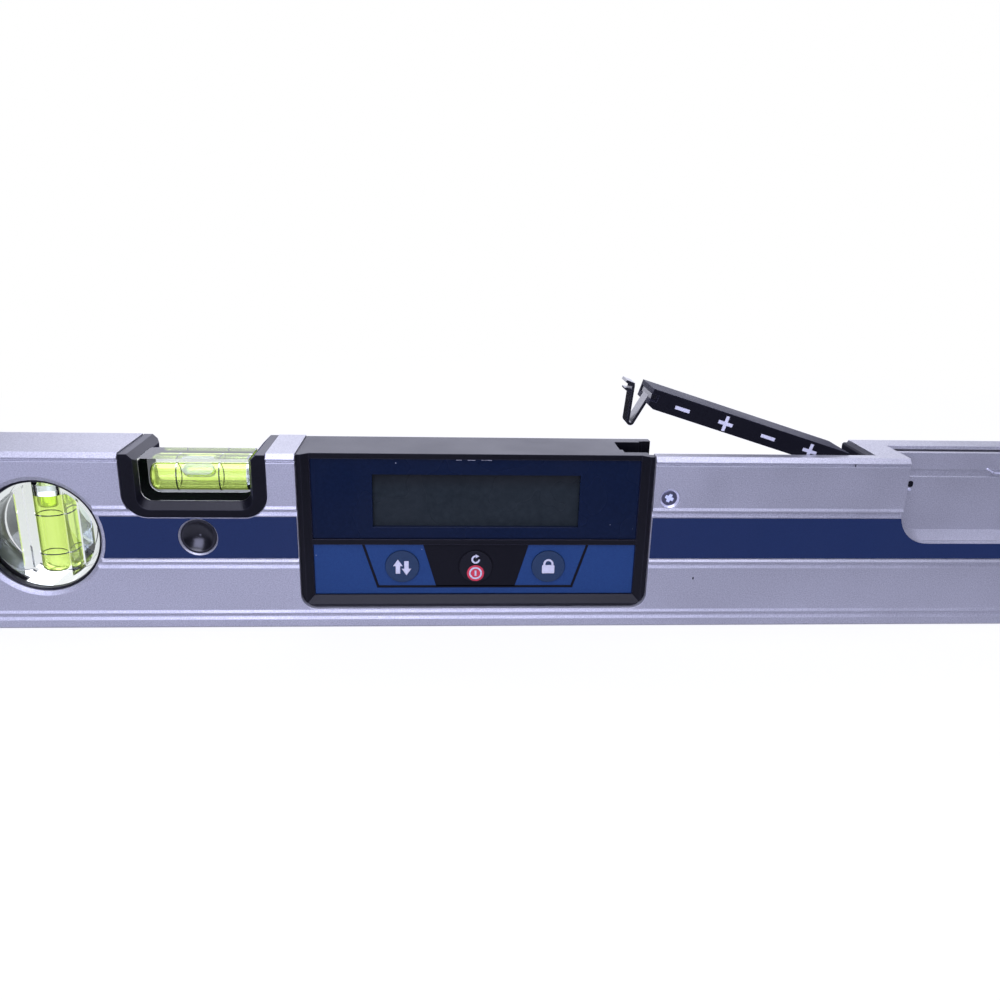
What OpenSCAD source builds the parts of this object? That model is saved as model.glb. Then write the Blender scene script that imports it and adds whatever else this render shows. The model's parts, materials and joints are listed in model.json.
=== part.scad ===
/* [Level] */
// Length over both end caps
level_len = 608; // [500:2:1200]
// Width of the rail, front to back
rail_w = 27; // [26.5:0.5:32]
// Height of the rail
rail_h = 59; // [58.5:0.5:66]
// Wall of the extrusion
wall = 2.2; // [1.8:0.1:2.4]
// Floor of the extrusion, under the measuring face
floor_t = 3; // [2.4:0.1:3.2]
// Roof of the extrusion, with its slot
roof_t = 3; // [2.8:0.1:3.4]
// Depth of the upper and lower panels below the beads
panel_depth = 0.4; // [0.2:0.1:0.6]
// Depth of the coloured band below the beads
stripe_depth = 0.9; // [0.6:0.1:1.2]
// Height of the lowest bead
low_bead = 5.4; // [5:0.1:6]
// Height of the bead under the band
mid_bead = 23.4; // [22:0.2:24]
// Height of the bead over the band
high_bead = 41.2; // [40:0.2:42.4]
// Bevel along the top edges
top_bevel = 1.5; // [1:0.1:2]
// Thickness of an end cap outside the rail
cap_t = 3; // [2:0.5:6]
// Depth of an end cap's plug in the rail
cap_plug = 9; // [5:1:15]

/* [Band] */
// Height of the coloured band
stripe_h = 14; // [10:0.2:14.6]
// Thickness of the coloured band
stripe_t = 0.4; // [0.2:0.1:0.5]

/* [Plumb vial] */
// Distance of the plumb vial from the left end
plumb_from_end = 65; // [50:1:90]
// Height of the plumb vial's centre
plumb_z = 31.4; // [30:0.2:33]
// Radius of the plumb vial's hole in the rail
plumb_hole_r = 18.6; // [18:0.2:18.8]
// Wall of the black ring round the plumb vial
ring_t = 0.65; // [0.5:0.05:0.9]
// Width of the bevel round that hole
plumb_bevel = 1.3; // [0.8:0.1:1.5]
// Width of the clear bar that holds the plumb tube
plumb_bar_w = 14.8; // [13:0.2:16]

/* [Level vial] */
// Distance from the plumb vial to the level vial
vial_from_plumb = 48.7; // [48:0.5:60]
// Width of the level vial's holder
holder_w = 44.5; // [43:0.5:48]
// Height of the underside of the holder
holder_z = 38.2; // [37.4:0.2:39]
// Thickness of the holder's arms
holder_arm = 5.2; // [4.6:0.1:5.6]
// Thickness of the holder's floor
holder_floor = 4.8; // [4:0.1:5.2]
// Side of the clear block's square section
block_side = 13.6; // [12.4:0.1:14]
// Radius of the fluid column in both vials
fluid_r = 4.4; // [4:0.1:4.6]
// Distance between the two reading rings
ring_gap = 13.2; // [13:0.2:15]
// Length of the bubble
bubble_len = 10.4; // [8:0.2:11]
// Radius of the round plug's hole
plug_hole_r = 5.7; // [5:0.1:5.8]
// Height of the round plug
plug_z = 31.5; // [31:0.1:31.6]

/* [Display unit] */
// Distance from the level vial to the middle of the display
display_from_vial = 88.3; // [86:0.5:100]
// Width of the display's cut-out in the rail
display_w = 114; // [113.6:0.2:120]
// Height of the lower edge of that cut-out
display_foot = 6.5; // [6.4:0.1:6.8]
// Width of the front panel
panel_w = 106.1; // [102:0.1:106.6]
// Width of the side of the bezel at the left
bezel_w = 3.8; // [3.5:0.1:4]
// Height of the front panel's lower edge
panel_foot = 10; // [9.8:0.1:10.2]
// Height of the lower edge of the bar between panel and keypad
bar_foot = 27.8; // [27.4:0.1:28]
// Height of that bar
bar_h = 1.8; // [1.4:0.1:2.2]
// Width of the display's window
window_w = 67; // [60:0.2:70]
// Height of the display's window
window_h = 17.8; // [15:0.2:18]
// Height of the window's lower edge
window_foot = 33.7; // [33:0.1:34.4]
// Thickness of the front panel and of the keypad
panel_t = 1.5; // [1.2:0.1:1.6]
// Radius of a key
key_r = 5.5; // [4.6:0.1:5.8]
// Distance between the keys
key_pitch = 24.2; // [20:0.1:26]
// Height of the keys
key_z = 20; // [19:0.1:20.6]
// How far a key is pressed
key_travel = 0.8; // [0.4:0.1:0.8]
// Thickness of the circuit board
board_t = 1.6; // [1.2:0.1:1.6]

/* [Battery compartment] */
// Distance between two cells
cell_pitch = 15.1; // [15:0.05:15.2]
// Radius of a cell
cell_r = 7.1; // [6.9:0.05:7.2]
// Length of a cell over its nub
cell_len = 49.8; // [48.5:0.1:49.9]
// Width of the rim that stays in front of the compartment
rim_w = 5; // [4.8:0.1:5.1]
// Width of the lid
lid_w = 16.4; // [16:0.1:16.6]
// Depth of the lid's skirt
lid_h = 6.3; // [6:0.1:6.5]
// Thickness of the lid
lid_t = 1.5; // [1.2:0.1:1.8]
// How far the lid's top reaches past its skirt
lid_reach = 5.5; // [5.2:0.1:5.6]
// Angle at which the lid stands open
lid_angle = 17.2; // [10:0.1:18]
// How far the hinge pin stands drawn out when the lid is open
lid_draw = 6.7; // [5:0.1:7]
// Distance from the lid's skirt to the hinge pin
pin_from_skirt = 9.3; // [9:0.1:9.5]
// Depth of the hinge pin below the lid's top
pin_depth = 5; // [4.8:0.1:5.2]
// Radius of the hinge pin
pin_r = 1.2; // [1:0.05:1.3]
// Width of the lid's latch
latch_w = 6.8; // [6:0.2:8]
// Thickness of the latch's legs
latch_t = 0.9; // [0.7:0.1:1.1]

/* [Hand grip] */
// Distance from the compartment's end to the grip recess
grip_from_cell = 9.9; // [9.5:0.1:30]
// Length of the grip recess
grip_len = 113; // [90:1:120]
// Height of the grip recess's lower edge
grip_z = 29.8; // [28.6:0.1:32]
// Corner radius of the grip recess
grip_r = 10.6; // [8:0.1:11]
// Depth of the grip's tray below the rail's face
grip_depth = 9.3; // [8:0.1:9.6]
// Width of the strip of roof left behind the grip
grip_strip = 9.1; // [8:0.1:12]

/* [Hidden] */
$fn = 64;

fit = 0.2;          // gap between a plastic part and the edge it sits in
slip = 0.05;        // gap round a part that slides or turns
seat = 0.15;        // gap between a part and what carries it
over = 1;           // how far a cutter runs past a face
edge = 0.6;         // small bevel
rib = 0.8;          // height of the rib inside the rail

face_y = rail_w / 2;
rail_len = level_len - 2 * cap_t;
rail_left = -rail_len / 2;
plumb_x = -level_len / 2 + plumb_from_end;
vial_x = plumb_x + vial_from_plumb;
display_x = vial_x + display_from_vial;
display_right = display_x + display_w / 2;
stripe_z = (mid_bead + high_bead) / 2 - 0.9;

// Heights of the plastic parts, measured from the top of the rail
plastic_top = rail_h - 0.4;
lid_skirt_z = plastic_top - lid_h;
box_top = lid_skirt_z - 0.3;

// Display unit, front to back
housing_front = -face_y + 2;
panel_y = housing_front + 2.5;
housing_back = face_y - wall - stripe_depth - 0.5;
housing_lip = face_y - 1.5;
back_notch_z = rail_h - 8;
shell = 1.5;
housing_w = display_w - 2 * fit;
housing_foot = display_foot + fit;
panel_left = display_x - housing_w / 2 + bezel_w;
panel_right = panel_left + panel_w;
panel_top = plastic_top - 1.8;
panel_back = panel_y + panel_t;
bar_y = panel_y - 0.6;
cavity_y = panel_back + 0.1;
board_y = -1.6;
key_x = [display_x - key_pitch, display_x, display_x + key_pitch];
lcd_margin = 1;
lcd_border = 4;
boss_r = 2.2;
boss_left = 46;
board_margin = 3;
boss_x = [display_x - boss_left, display_x + window_w / 2 + lcd_border + boss_r + 0.3];
boss_z = [panel_foot + shell + board_margin + 0.5, panel_top - shell - board_margin - 1.5];
screw_reach = 5;
board_head_r = 1.8;
board_head_t = 1.2;
key_collar = 0.7;
key_collar_t = 0.85;
key_stem_r = 2.2;
key_out = 0.5;
switch_w = 6;
switch_t = 0.9;
switch_nub_r = 1.7;
switch_y = board_y - 2;
sensor_w = 24;
sensor_h = 14;
sensor_t = 2;
can_r = 6;
can_len = 5;
rim_slope = 2.4;
foot_slope = 2.4;
screw_r = 0.85;
pocket_left = display_right - 10.1;
pocket_step = pocket_left + 1;
pocket_z = plastic_top - 15;
pocket_back = 7.4;
lid_swing = 1.5;
pocket_front = 2.3 - lid_w / 2;

// Battery compartment, left to right
lid_x = display_right + 0.4;
cell_start = 11.1;
cell_end = 7.6;
cell_x = [for (i = [0:3]) lid_x + cell_start + i * cell_pitch];
skirt_len = cell_start + 3 * cell_pitch + cell_end;
lid_len = skirt_len + lid_reach;
pin_from_end = skirt_len + pin_from_skirt;
well_floor = floor_t + seat + 0.5;
strip_t = 0.25;
cell_z = well_floor + strip_t + slip;
nub_h = 1;
nub_r = 2.7;
pad_w = 6;
well_r = cell_r + 0.25;
box_w = lid_w;
box_x = display_right + 0.7;
cheek_x = lid_x + skirt_len + 0.4;
cheek_in = lid_w / 2 - 2;
pin_closed_x = lid_x + pin_from_end;
pin_z = plastic_top - pin_depth;
pin_x = pin_closed_x - lid_draw;
block_x = pin_closed_x - 3.45;
block_t = 3.1;
block_back = box_w / 2 + 1.1;
opening_right = block_x + block_t + 0.4;
bracket_right = pin_closed_x + 3.6;
bracket_z = pin_z - 9;
roof_z = rail_h - roof_t;
block_top = plastic_top + 0.2;
grip_x = opening_right + grip_from_cell;

// Tray of the hand grip
tray_x = grip_x + grip_len / 2;
tray_front = -face_y + panel_depth + wall + rib + seat;
tray_back = -face_y + grip_depth;
tray_wall = 1.5;
tray_slope = 1.8;
tray_top = rail_h - 0.1;
tray_shelf = rail_h - 2;
tray_groove_z = high_bead + 9.4;
tray_groove_h = 2.5;
tray_groove_t = 0.5;

// Lid and latch, in the lid's own frame
lid_skirt = 0.8;
plate_t = 2.3;
tongue_w = 2 * cheek_in - 0.8;
barrel_r = pin_r + 0.7;
root_w = lid_w - 3;
root_pocket = 4.3;
bend = [-2.1, -12.9];
bend_r = 0.85;
contact_t = 0.3;
cell_gap = cell_z + cell_len + 0.2 - plastic_top;

// Vials
vial_floor = holder_z + holder_floor;
block_z = vial_floor + seat;
block_y = -face_y + 2.5;
vial_y = block_y + block_side / 2;
vial_z = block_z + block_side / 2;
holder_y = face_y - 0.6;
bore_r = fluid_r + slip;
ring_r = fluid_r + 0.3;
ring_h = 0.35;
dome_r = 2;
holder_in_w = holder_w - 2 * holder_arm;
holder_in_r = 3.7;
block_len = holder_in_w - 2 * seat;
tube_len = block_len - 3.8;
tube_shift = 0.5;
tube_x = vial_x + tube_shift;
level_plug_t = block_len / 2 - tube_shift - tube_len / 2 - slip;
plumb_r = plumb_hole_r - fit - ring_t - seat;
plumb_column = 26;
plumb_drop = 1.7;
plumb_plug_t = 3.5;
bubble_dome = 1.6;
bubble_r = 2.3;
bubble_up = 1.95;
plumb_y = face_y - 3.2;
plumb_ring_y = face_y - 1.6;
plumb_bevel_t = 0.8;
plug_bevel = 0.5;
dish_t = 2;
dish_r = plug_hole_r - 0.7;

// Draws a flat shape, given in X and Z, from one Y to another
module along_y(y0, y1) {
    translate([0, y1, 0]) rotate([90, 0, 0]) linear_extrude(y1 - y0) children();
}

// A box from one corner to the other
module span(low, high) {
    translate(low) cube(high - low);
}

// A round bar along Y
module pin_y(x, z, r, y0, y1) {
    translate([x, y1, z]) rotate([90, 0, 0]) cylinder(r = r, h = y1 - y0);
}

// A flat U: square at the top, rounded at its two lower corners
module round_foot(x, z, w, top, r) {
    translate([x - w / 2 + r, z]) square([w - 2 * r, top - z]);
    translate([x - w / 2, z + r]) square([w, top - z - r]);
    for (side = [-1, 1]) translate([x + side * (w / 2 - r), z + r]) circle(r);
}

// A bead and the groove under it, as [depth below the face, height]
function bead(z, below, above) = [
    [below, z - 2.4], [below + 0.5, z - 1.5], [below + 0.5, z - 0.8],
    [0, z - 0.3], [0, z], [above, z + 0.8]
];

bevel_foot = rail_h - top_bevel;
side_outline = concat(
    [[edge, 0], [0, edge]],
    bead(low_bead, 0, panel_depth),
    bead(mid_bead, panel_depth, stripe_depth),
    bead(high_bead, stripe_depth, panel_depth),
    [[panel_depth, bevel_foot - 1.4], [panel_depth + 0.5, bevel_foot - 1], [panel_depth + 0.5, bevel_foot - 0.8],
        [0, bevel_foot - 0.1], [0, bevel_foot], [top_bevel, rail_h]]
);

// The hollow's side, with the step behind the band and one stiffening rib
function side_hollow(gap) = [
    [panel_depth + wall + gap, floor_t + gap],
    [panel_depth + wall + gap, mid_bead - 1],
    [stripe_depth + wall + gap, mid_bead + 1.6],
    [stripe_depth + wall + gap, high_bead - 1.6],
    [panel_depth + wall + gap, high_bead + 1],
    [panel_depth + wall + gap, high_bead + 4.6],
    [panel_depth + wall + rib + gap, high_bead + 5.2],
    [panel_depth + wall + rib + gap, high_bead + 7],
    [panel_depth + wall + gap, high_bead + 7.6],
    [panel_depth + wall + gap, rail_h - roof_t - gap]
];

function reversed(list) = [for (i = [len(list) - 1:-1:0]) list[i]];
function both_sides(side) = concat(
    [for (p = side) [p[0] - face_y, p[1]]],
    [for (p = reversed(side)) [face_y - p[0], p[1]]]
);

module along_x(x, length) {
    translate([x, 0, 0]) rotate([90, 0, 90]) linear_extrude(length) children();
}

module rail_section() {
    difference() {
        polygon(both_sides(side_outline));
        polygon(both_sides(side_hollow(0)));
        translate([-face_y + 6.5, rail_h - 2]) square([rail_w - 13, 0.8]);
    }
}

// Bevel round a hole in the front face, its wide end at a depth below the beads
module hole_bevel(x, z, r, width, depth, height) {
    pin_y(x, z, r + width, -face_y - over, depth - face_y);
    translate([x, depth - face_y, z]) rotate([-90, 0, 0]) cylinder(r1 = r + width, r2 = r, h = height);
}

module level_rail() {
    color("silver")
    difference() {
        along_x(rail_left, rail_len) rail_section();
        // display cut-out in the front wall
        along_y(-face_y - over, 0)
            round_foot(display_x, display_foot, display_w, rail_h + over, 5.2);
        // roof and top of the back wall over the display and the cells
        span([display_x - display_w / 2, rim_w - face_y, roof_z - over],
             [opening_right, face_y + over, rail_h + over]);
        span([display_x - display_w / 2, 0, back_notch_z],
             [opening_right, face_y + over, rail_h + over]);
        // seat of the level vial's holder
        along_y(-face_y - over, face_y + over)
            round_foot(vial_x, holder_z - fit, holder_w + 2 * fit, rail_h + over, 7.6);
        pin_y(plumb_x, plumb_z, plumb_hole_r, -face_y - over, face_y + over);
        for (turn = [0, 1]) mirror([0, turn, 0])
            hole_bevel(plumb_x, plumb_z, plumb_hole_r, plumb_bevel, panel_depth, plumb_bevel_t);
        pin_y(vial_x, plug_z, plug_hole_r, -face_y - over, 0);
        hole_bevel(vial_x, plug_z, plug_hole_r, plug_bevel, stripe_depth, plug_bevel);
        side_screw_hole();
        // hand grip through the front wall and the roof
        along_y(-face_y - over, 0)
            round_foot(grip_x + grip_len / 2, grip_z, grip_len, rail_h + over, grip_r);
        span([grip_x, -face_y - over, roof_z - over],
             [grip_x + grip_len, face_y - grip_strip, rail_h + over]);
    }
}

module end_cap(side) {
    color([0.12, 0.12, 0.14])
    mirror([side < 0 ? 1 : 0, 0, 0]) {
        along_x(rail_len / 2, cap_t) polygon(both_sides(side_outline));
        along_x(rail_len / 2 - cap_plug, cap_plug)
        difference() {
            polygon(both_sides(side_hollow(seat)));
            polygon(both_sides(side_hollow(seat + 2)));
        }
    }
}

module left_end_cap() end_cap(-1);
module right_end_cap() end_cap(1);

// The band lies in the recess of one face, cut away like the rail
module stripe(side, y0) {
    color([0.13, 0.18, 0.36])
    difference() {
        span([rail_left + 0.2, y0, stripe_z - stripe_h / 2],
             [-rail_left - 0.2, y0 + stripe_t, stripe_z + stripe_h / 2]);
        pin_y(plumb_x, plumb_z, plumb_hole_r + plumb_bevel + slip, -face_y - over, face_y + over);
        along_y(-face_y - over, face_y + over)
            round_foot(vial_x, holder_z - 2 * fit, holder_w + 4 * fit, rail_h, 7.8);
        if (side < 0) {
            along_y(-face_y - over, 0)
                round_foot(display_x, display_foot, display_w + 2 * fit, rail_h, 5);
            along_y(-face_y - over, 0)
                round_foot(grip_x + grip_len / 2, grip_z - fit, grip_len + 2 * fit, rail_h, grip_r);
            pin_y(vial_x, plug_z, plug_hole_r + plug_bevel + slip, -face_y - over, 0);
        }
    }
}

module front_stripe() stripe(-1, stripe_depth - face_y - stripe_t);
module back_stripe() stripe(1, face_y - stripe_depth);

screw_x = display_right + 5.3;
screw_z = 45.1;
screw_head_r = 2.9;
screw_head_t = 1;
screw_face = -face_y + panel_depth + 0.4;
screw_shank_r = 1.45;
screw_tip_y = -box_w / 2 + 2;

module side_screw_hole() {
    pin_y(screw_x, screw_z, screw_head_r + 0.4, -face_y - over, screw_face + screw_head_t + 0.1);
    pin_y(screw_x, screw_z, screw_shank_r + seat, -face_y - over, 0);
}

module side_screw() {
    color("gainsboro")
    difference() {
        union() {
            pin_y(screw_x, screw_z, screw_head_r, screw_face, screw_face + screw_head_t);
            pin_y(screw_x, screw_z, screw_shank_r, screw_face + screw_head_t, screw_tip_y);
        }
        for (w = [[2, 0.35], [0.35, 2]])
            span([screw_x - w[0], screw_face - over, screw_z - w[1]],
                 [screw_x + w[0], screw_face + 0.7, screw_z + w[1]]);
    }
}

// Housing of the display: bezel, shell and the pocket for the lid's latch
module display_housing() {
    color([0.1, 0.1, 0.13]) {
        housing_shell();
        for (x = boss_x, z = boss_z)
            difference() {
                pin_y(x, z, boss_r, board_y + board_t, housing_back - shell / 2);
                pin_y(x, z, screw_r + slip, board_y, board_y + board_t + screw_reach + over);
            }
    }
}

module housing_shell() {
    difference() {
        union() {
            along_y(housing_front, housing_back)
                round_foot(display_x, housing_foot, housing_w, plastic_top, 5);
            span([display_x - housing_w / 2, 0, back_notch_z + fit],
                 [display_x + housing_w / 2, housing_lip, plastic_top]);
            span([display_x, lid_w / 2 + 0.6, back_notch_z + fit],
                 [display_right + 2.6, housing_lip, plastic_top]);
        }
        bezel_slope();
        // recesses for the front panel and for the keypad
        span([panel_left, bar_y - over, bar_foot + bar_h], [panel_right, cavity_y, panel_top]);
        span([panel_left, bar_y - over, panel_foot], [panel_right, cavity_y, bar_foot]);
        // hollow behind them
        span([panel_left + shell, panel_back, panel_foot + shell],
             [pocket_left - shell, housing_back - shell, panel_top - shell]);
        span([pocket_left - 2 * shell, panel_back, panel_foot + shell],
             [panel_right - shell, housing_back - shell, pocket_z - shell]);
        latch_pocket();
    }
}

// The bezel falls inwards to the panel and is open at the top
module bezel_slope() {
    hull() {
        span([panel_left - rim_slope, housing_front - over, panel_foot - foot_slope],
             [panel_right + rim_slope, housing_front, plastic_top + over]);
        span([panel_left, bar_y - 0.1, panel_foot],
             [panel_right, bar_y, plastic_top + over]);
    }
}

// Pocket in the housing's top corner where the lid's latch and a fingertip go
module latch_pocket() {
    span([pocket_left, -2.6, pocket_z], [display_right + over, pocket_back, rail_h]);
    span([pocket_step, pocket_front, pocket_z], [display_right + over, pocket_back, rail_h]);
    span([display_right - lid_swing, -lid_w / 2 - 0.4, lid_skirt_z - 0.4],
         [display_right + over, lid_w / 2 + 0.4, rail_h]);
}

module front_panel() {
    color([0.07, 0.11, 0.24])
    difference() {
        span([panel_left + seat, panel_y, bar_foot + bar_h + seat],
             [panel_right - seat, panel_back, panel_top - seat]);
        span([display_x - window_w / 2, panel_y - over, window_foot],
             [display_x + window_w / 2, panel_back + over, window_foot + window_h]);
    }
}

module keypad_cover() {
    color([0.14, 0.25, 0.47])
    difference() {
        span([panel_left + seat, panel_y, panel_foot + seat],
             [panel_right - seat, panel_back, bar_foot - seat]);
        for (x = key_x) pin_y(x, key_z, key_r + slip, panel_y - over, panel_back + over);
    }
}

// Each key is a round cap with a collar behind the keypad and a stem to its switch
module key(x, tint) {
    color(tint) {
        pin_y(x, key_z, key_r, panel_y - key_out, panel_back + 2 * seat);
        pin_y(x, key_z, key_r + key_collar, panel_back + seat, panel_back + seat + key_collar_t);
        pin_y(x, key_z, key_stem_r, panel_back + seat + key_collar_t, switch_y);
    }
}

module unit_key() key(key_x[0], [0.16, 0.26, 0.37]);
module power_key() key(key_x[1], [0.08, 0.08, 0.1]);
module hold_key() key(key_x[2], [0.16, 0.26, 0.37]);

module key_switches() {
    color("dimgray")
    for (x = key_x) {
        span([x - switch_w / 2, board_y - seat - switch_t, key_z - switch_w / 2],
             [x + switch_w / 2, board_y - seat, key_z + switch_w / 2]);
        pin_y(x, key_z, switch_nub_r, switch_y + key_travel + 0.1, board_y - seat);
    }
}

lcd_back = board_y - seat;

module lcd_frame() {
    color([0.1, 0.1, 0.11])
    difference() {
        span([display_x - window_w / 2 - lcd_border, panel_back + seat, window_foot - lcd_border / 2],
             [display_x + window_w / 2 + lcd_border, lcd_back, window_foot + window_h + lcd_border / 2]);
        span([display_x - window_w / 2 - lcd_margin, panel_y, window_foot - lcd_margin],
             [display_x + window_w / 2 + lcd_margin, panel_back + 2.2, window_foot + window_h + lcd_margin]);
    }
}

module lcd_glass() {
    color([0.18, 0.22, 0.22])
    span([display_x - window_w / 2 - lcd_margin + slip, panel_back + seat, window_foot - lcd_margin + slip],
         [display_x + window_w / 2 + lcd_margin - slip, panel_back + 2.1,
             window_foot + window_h + lcd_margin - slip]);
}

module circuit_board() {
    color("darkgreen")
    difference() {
        span([boss_x[0] - board_margin, board_y, boss_z[0] - board_margin],
             [boss_x[1] + board_margin, board_y + board_t, boss_z[1] + board_margin]);
        for (x = boss_x, z = boss_z) pin_y(x, z, screw_r + 0.2, board_y - over, board_y + board_t + over);
    }
}

module board_screws() {
    color("silver")
    for (x = boss_x, z = boss_z) {
        pin_y(x, z, board_head_r, board_y - seat - board_head_t, board_y - seat);
        pin_y(x, z, screw_r, board_y - seat, board_y + board_t + screw_reach);
    }
}

// Tilt sensor: a sealed can on its own foot behind the board
module tilt_sensor() {
    color("lightgray") {
        span([display_x - sensor_w / 2, board_y + board_t + seat, key_z - sensor_h / 2],
             [display_x + sensor_w / 2, board_y + board_t + sensor_t, key_z + sensor_h / 2]);
        pin_y(display_x, key_z, can_r, board_y + board_t + sensor_t, board_y + board_t + sensor_t + can_len);
    }
}

// Holder of the level vial: a U across the whole rail, sloped inwards at the front and back
module vial_holder() {
    color([0.1, 0.1, 0.12])
    difference() {
        along_y(-holder_y, holder_y) difference() {
            round_foot(vial_x, holder_z, holder_w, plastic_top, 7.4);
            round_foot(vial_x, vial_floor, holder_in_w, rail_h + over, holder_in_r);
        }
        for (turn = [0, 1]) mirror([0, turn, 0]) holder_slope();
        for (side = [-1, 1]) arm_bevel(side);
    }
}

module holder_slope() {
    hull() {
        along_y(-holder_y - 0.1, -holder_y)
            round_foot(vial_x, vial_floor - 2.4, holder_in_w + 1.8, rail_h + over, 4, $fn = 32);
        along_y(-holder_y + 1.8, -holder_y + 1.9)
            round_foot(vial_x, vial_floor, holder_in_w, rail_h + over, holder_in_r, $fn = 32);
    }
}

module arm_bevel(side) {
    bevel = 2.4;
    x = vial_x + side * holder_in_w / 2;
    along_y(-holder_y - over, holder_y + over)
        polygon([[x - side * over, plastic_top + over], [x + side * (bevel + over), plastic_top + over],
            [x + side * bevel, plastic_top], [x, plastic_top - bevel], [x - side * over, plastic_top - bevel]]);
}

// A column from Z = 0 up, its upper end domed
module column(r, length, dome) {
    rotate_extrude() {
        square([r - dome, length]);
        square([r, length - dome]);
        translate([r - dome, length - dome]) circle(dome);
    }
}

// Grooves round the bore that hold the reading rings
module ring_grooves(middle) {
    for (end = [-1, 1]) translate([0, 0, middle + end * ring_gap / 2])
        cylinder(r = ring_r, h = ring_h + 2 * slip, center = true);
}

module reading_rings(middle) {
    for (end = [-1, 1]) translate([0, 0, middle + end * ring_gap / 2])
        difference() {
            cylinder(r = ring_r - slip, h = ring_h, center = true);
            cylinder(r = bore_r, h = over, center = true);
        }
}

// Both tubes run from their plug to a domed end: to the left here, and down in the plumb vial
module level_tube() {
    translate([tube_x + tube_len / 2, vial_y, vial_z]) rotate([0, -90, 0]) children();
}

module level_vial_block() {
    color([0.85, 0.95, 0.85, 0.4])
    difference() {
        along_y(block_y, block_y + block_side)
            round_foot(vial_x, block_z, block_len, block_z + block_side, holder_in_r);
        level_tube() {
            translate([0, 0, -block_len]) cylinder(r = bore_r, h = block_len + over);
            column(bore_r, tube_len, dome_r);
            ring_grooves(tube_len / 2);
        }
    }
}

module level_vial_fluid() {
    color([0.85, 0.95, 0.4])
    level_tube() difference() {
        translate([0, 0, slip]) column(fluid_r, tube_len - 2 * slip, dome_r);
        translate([bubble_up, -0.4, tube_len / 2]) {
            cylinder(r = bubble_r, h = bubble_len - 2 * bubble_r, center = true);
            for (end = [-1, 1]) translate([0, 0, end * (bubble_len / 2 - bubble_r)]) sphere(bubble_r);
        }
    }
}

module level_vial_rings() {
    color("black")
    level_tube() reading_rings(tube_len / 2);
}

module level_vial_plug() {
    color([0.9, 0.95, 0.9])
    level_tube() translate([0, 0, -level_plug_t]) cylinder(r = fluid_r, h = level_plug_t - slip);
}

// Dished plug below the level vial, over the screw that clamps it
module round_plug() {
    color([0.05, 0.05, 0.06])
    translate([vial_x, -face_y + stripe_depth + 0.3, plug_z]) rotate([-90, 0, 0])
    difference() {
        cylinder(r = plug_hole_r - 0.1, h = 4);
        translate([0, 0, (dish_t - dish_r * dish_r / dish_t) / 2]) sphere((dish_t + dish_r * dish_r / dish_t) / 2);
    }
}

// Black ring that lines the plumb vial's hole from face to face
module plumb_ring() {
    color([0.08, 0.08, 0.1])
    translate([plumb_x, 0, plumb_z]) rotate([90, 0, 0])
        rotate_extrude($fn = 96) {
            r0 = plumb_r + seat;
            r1 = plumb_hole_r - fit;
            y1 = plumb_ring_y;
            bevel = 0.2;
            polygon([[r0, bevel - y1], [r0 + bevel, -y1], [r1 - bevel, -y1], [r1, bevel - y1],
                [r1, y1 - bevel], [r1 - bevel, y1], [r0 + bevel, y1], [r0, y1 - bevel]]);
        }
}

// Clear moulding: a round rim, a square upright bar with the tube, and a thin web
module plumb_vial_block() {
    color([0.85, 0.95, 0.85, 0.4])
    translate([plumb_x, 0, plumb_z])
    difference() {
        intersection() {
            pin_y(0, 0, plumb_r, -plumb_y, plumb_y, $fn = 96);
            union() {
                span([-plumb_bar_w / 2, -plumb_y, -plumb_r], [plumb_bar_w / 2, plumb_y, plumb_r]);
                span([-plumb_r, -1, -plumb_r], [plumb_r, 1, plumb_r]);
                difference() {
                    pin_y(0, 0, plumb_r, -plumb_y, plumb_y, $fn = 96);
                    pin_y(0, 0, plumb_r - 1.6, -plumb_y - over, plumb_y + over, $fn = 96);
                }
            }
        }
        plumb_bore();
    }
}

module plumb_bore() {
    translate([0, 0, plumb_column / 2 - plumb_drop - over]) cylinder(r = bore_r, h = plumb_r);
    plumb_tube() {
        column(bore_r, plumb_column, dome_r);
        ring_grooves(plumb_column / 2);
    }
}

module plumb_tube() {
    translate([0, 0, plumb_column / 2 - plumb_drop]) rotate([180, 0, 0]) children();
}

// With the level lying flat the bubble stands under the plug
module plumb_vial_fluid() {
    color([0.85, 0.95, 0.4])
    translate([plumb_x, 0, plumb_z]) plumb_tube() difference() {
        translate([0, 0, slip]) column(fluid_r, plumb_column - 2 * slip, dome_r);
        translate([0, 0, -over]) column(fluid_r - 0.65, 4.2 + over, bubble_dome);
    }
}

module plumb_vial_rings() {
    color("black")
    translate([plumb_x, 0, plumb_z]) plumb_tube() reading_rings(plumb_column / 2);
}

module plumb_vial_plug() {
    color([0.9, 0.95, 0.9])
    translate([plumb_x, 0, plumb_z + plumb_column / 2 - plumb_drop + slip])
        cylinder(r = fluid_r, h = plumb_plug_t);
}

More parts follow.
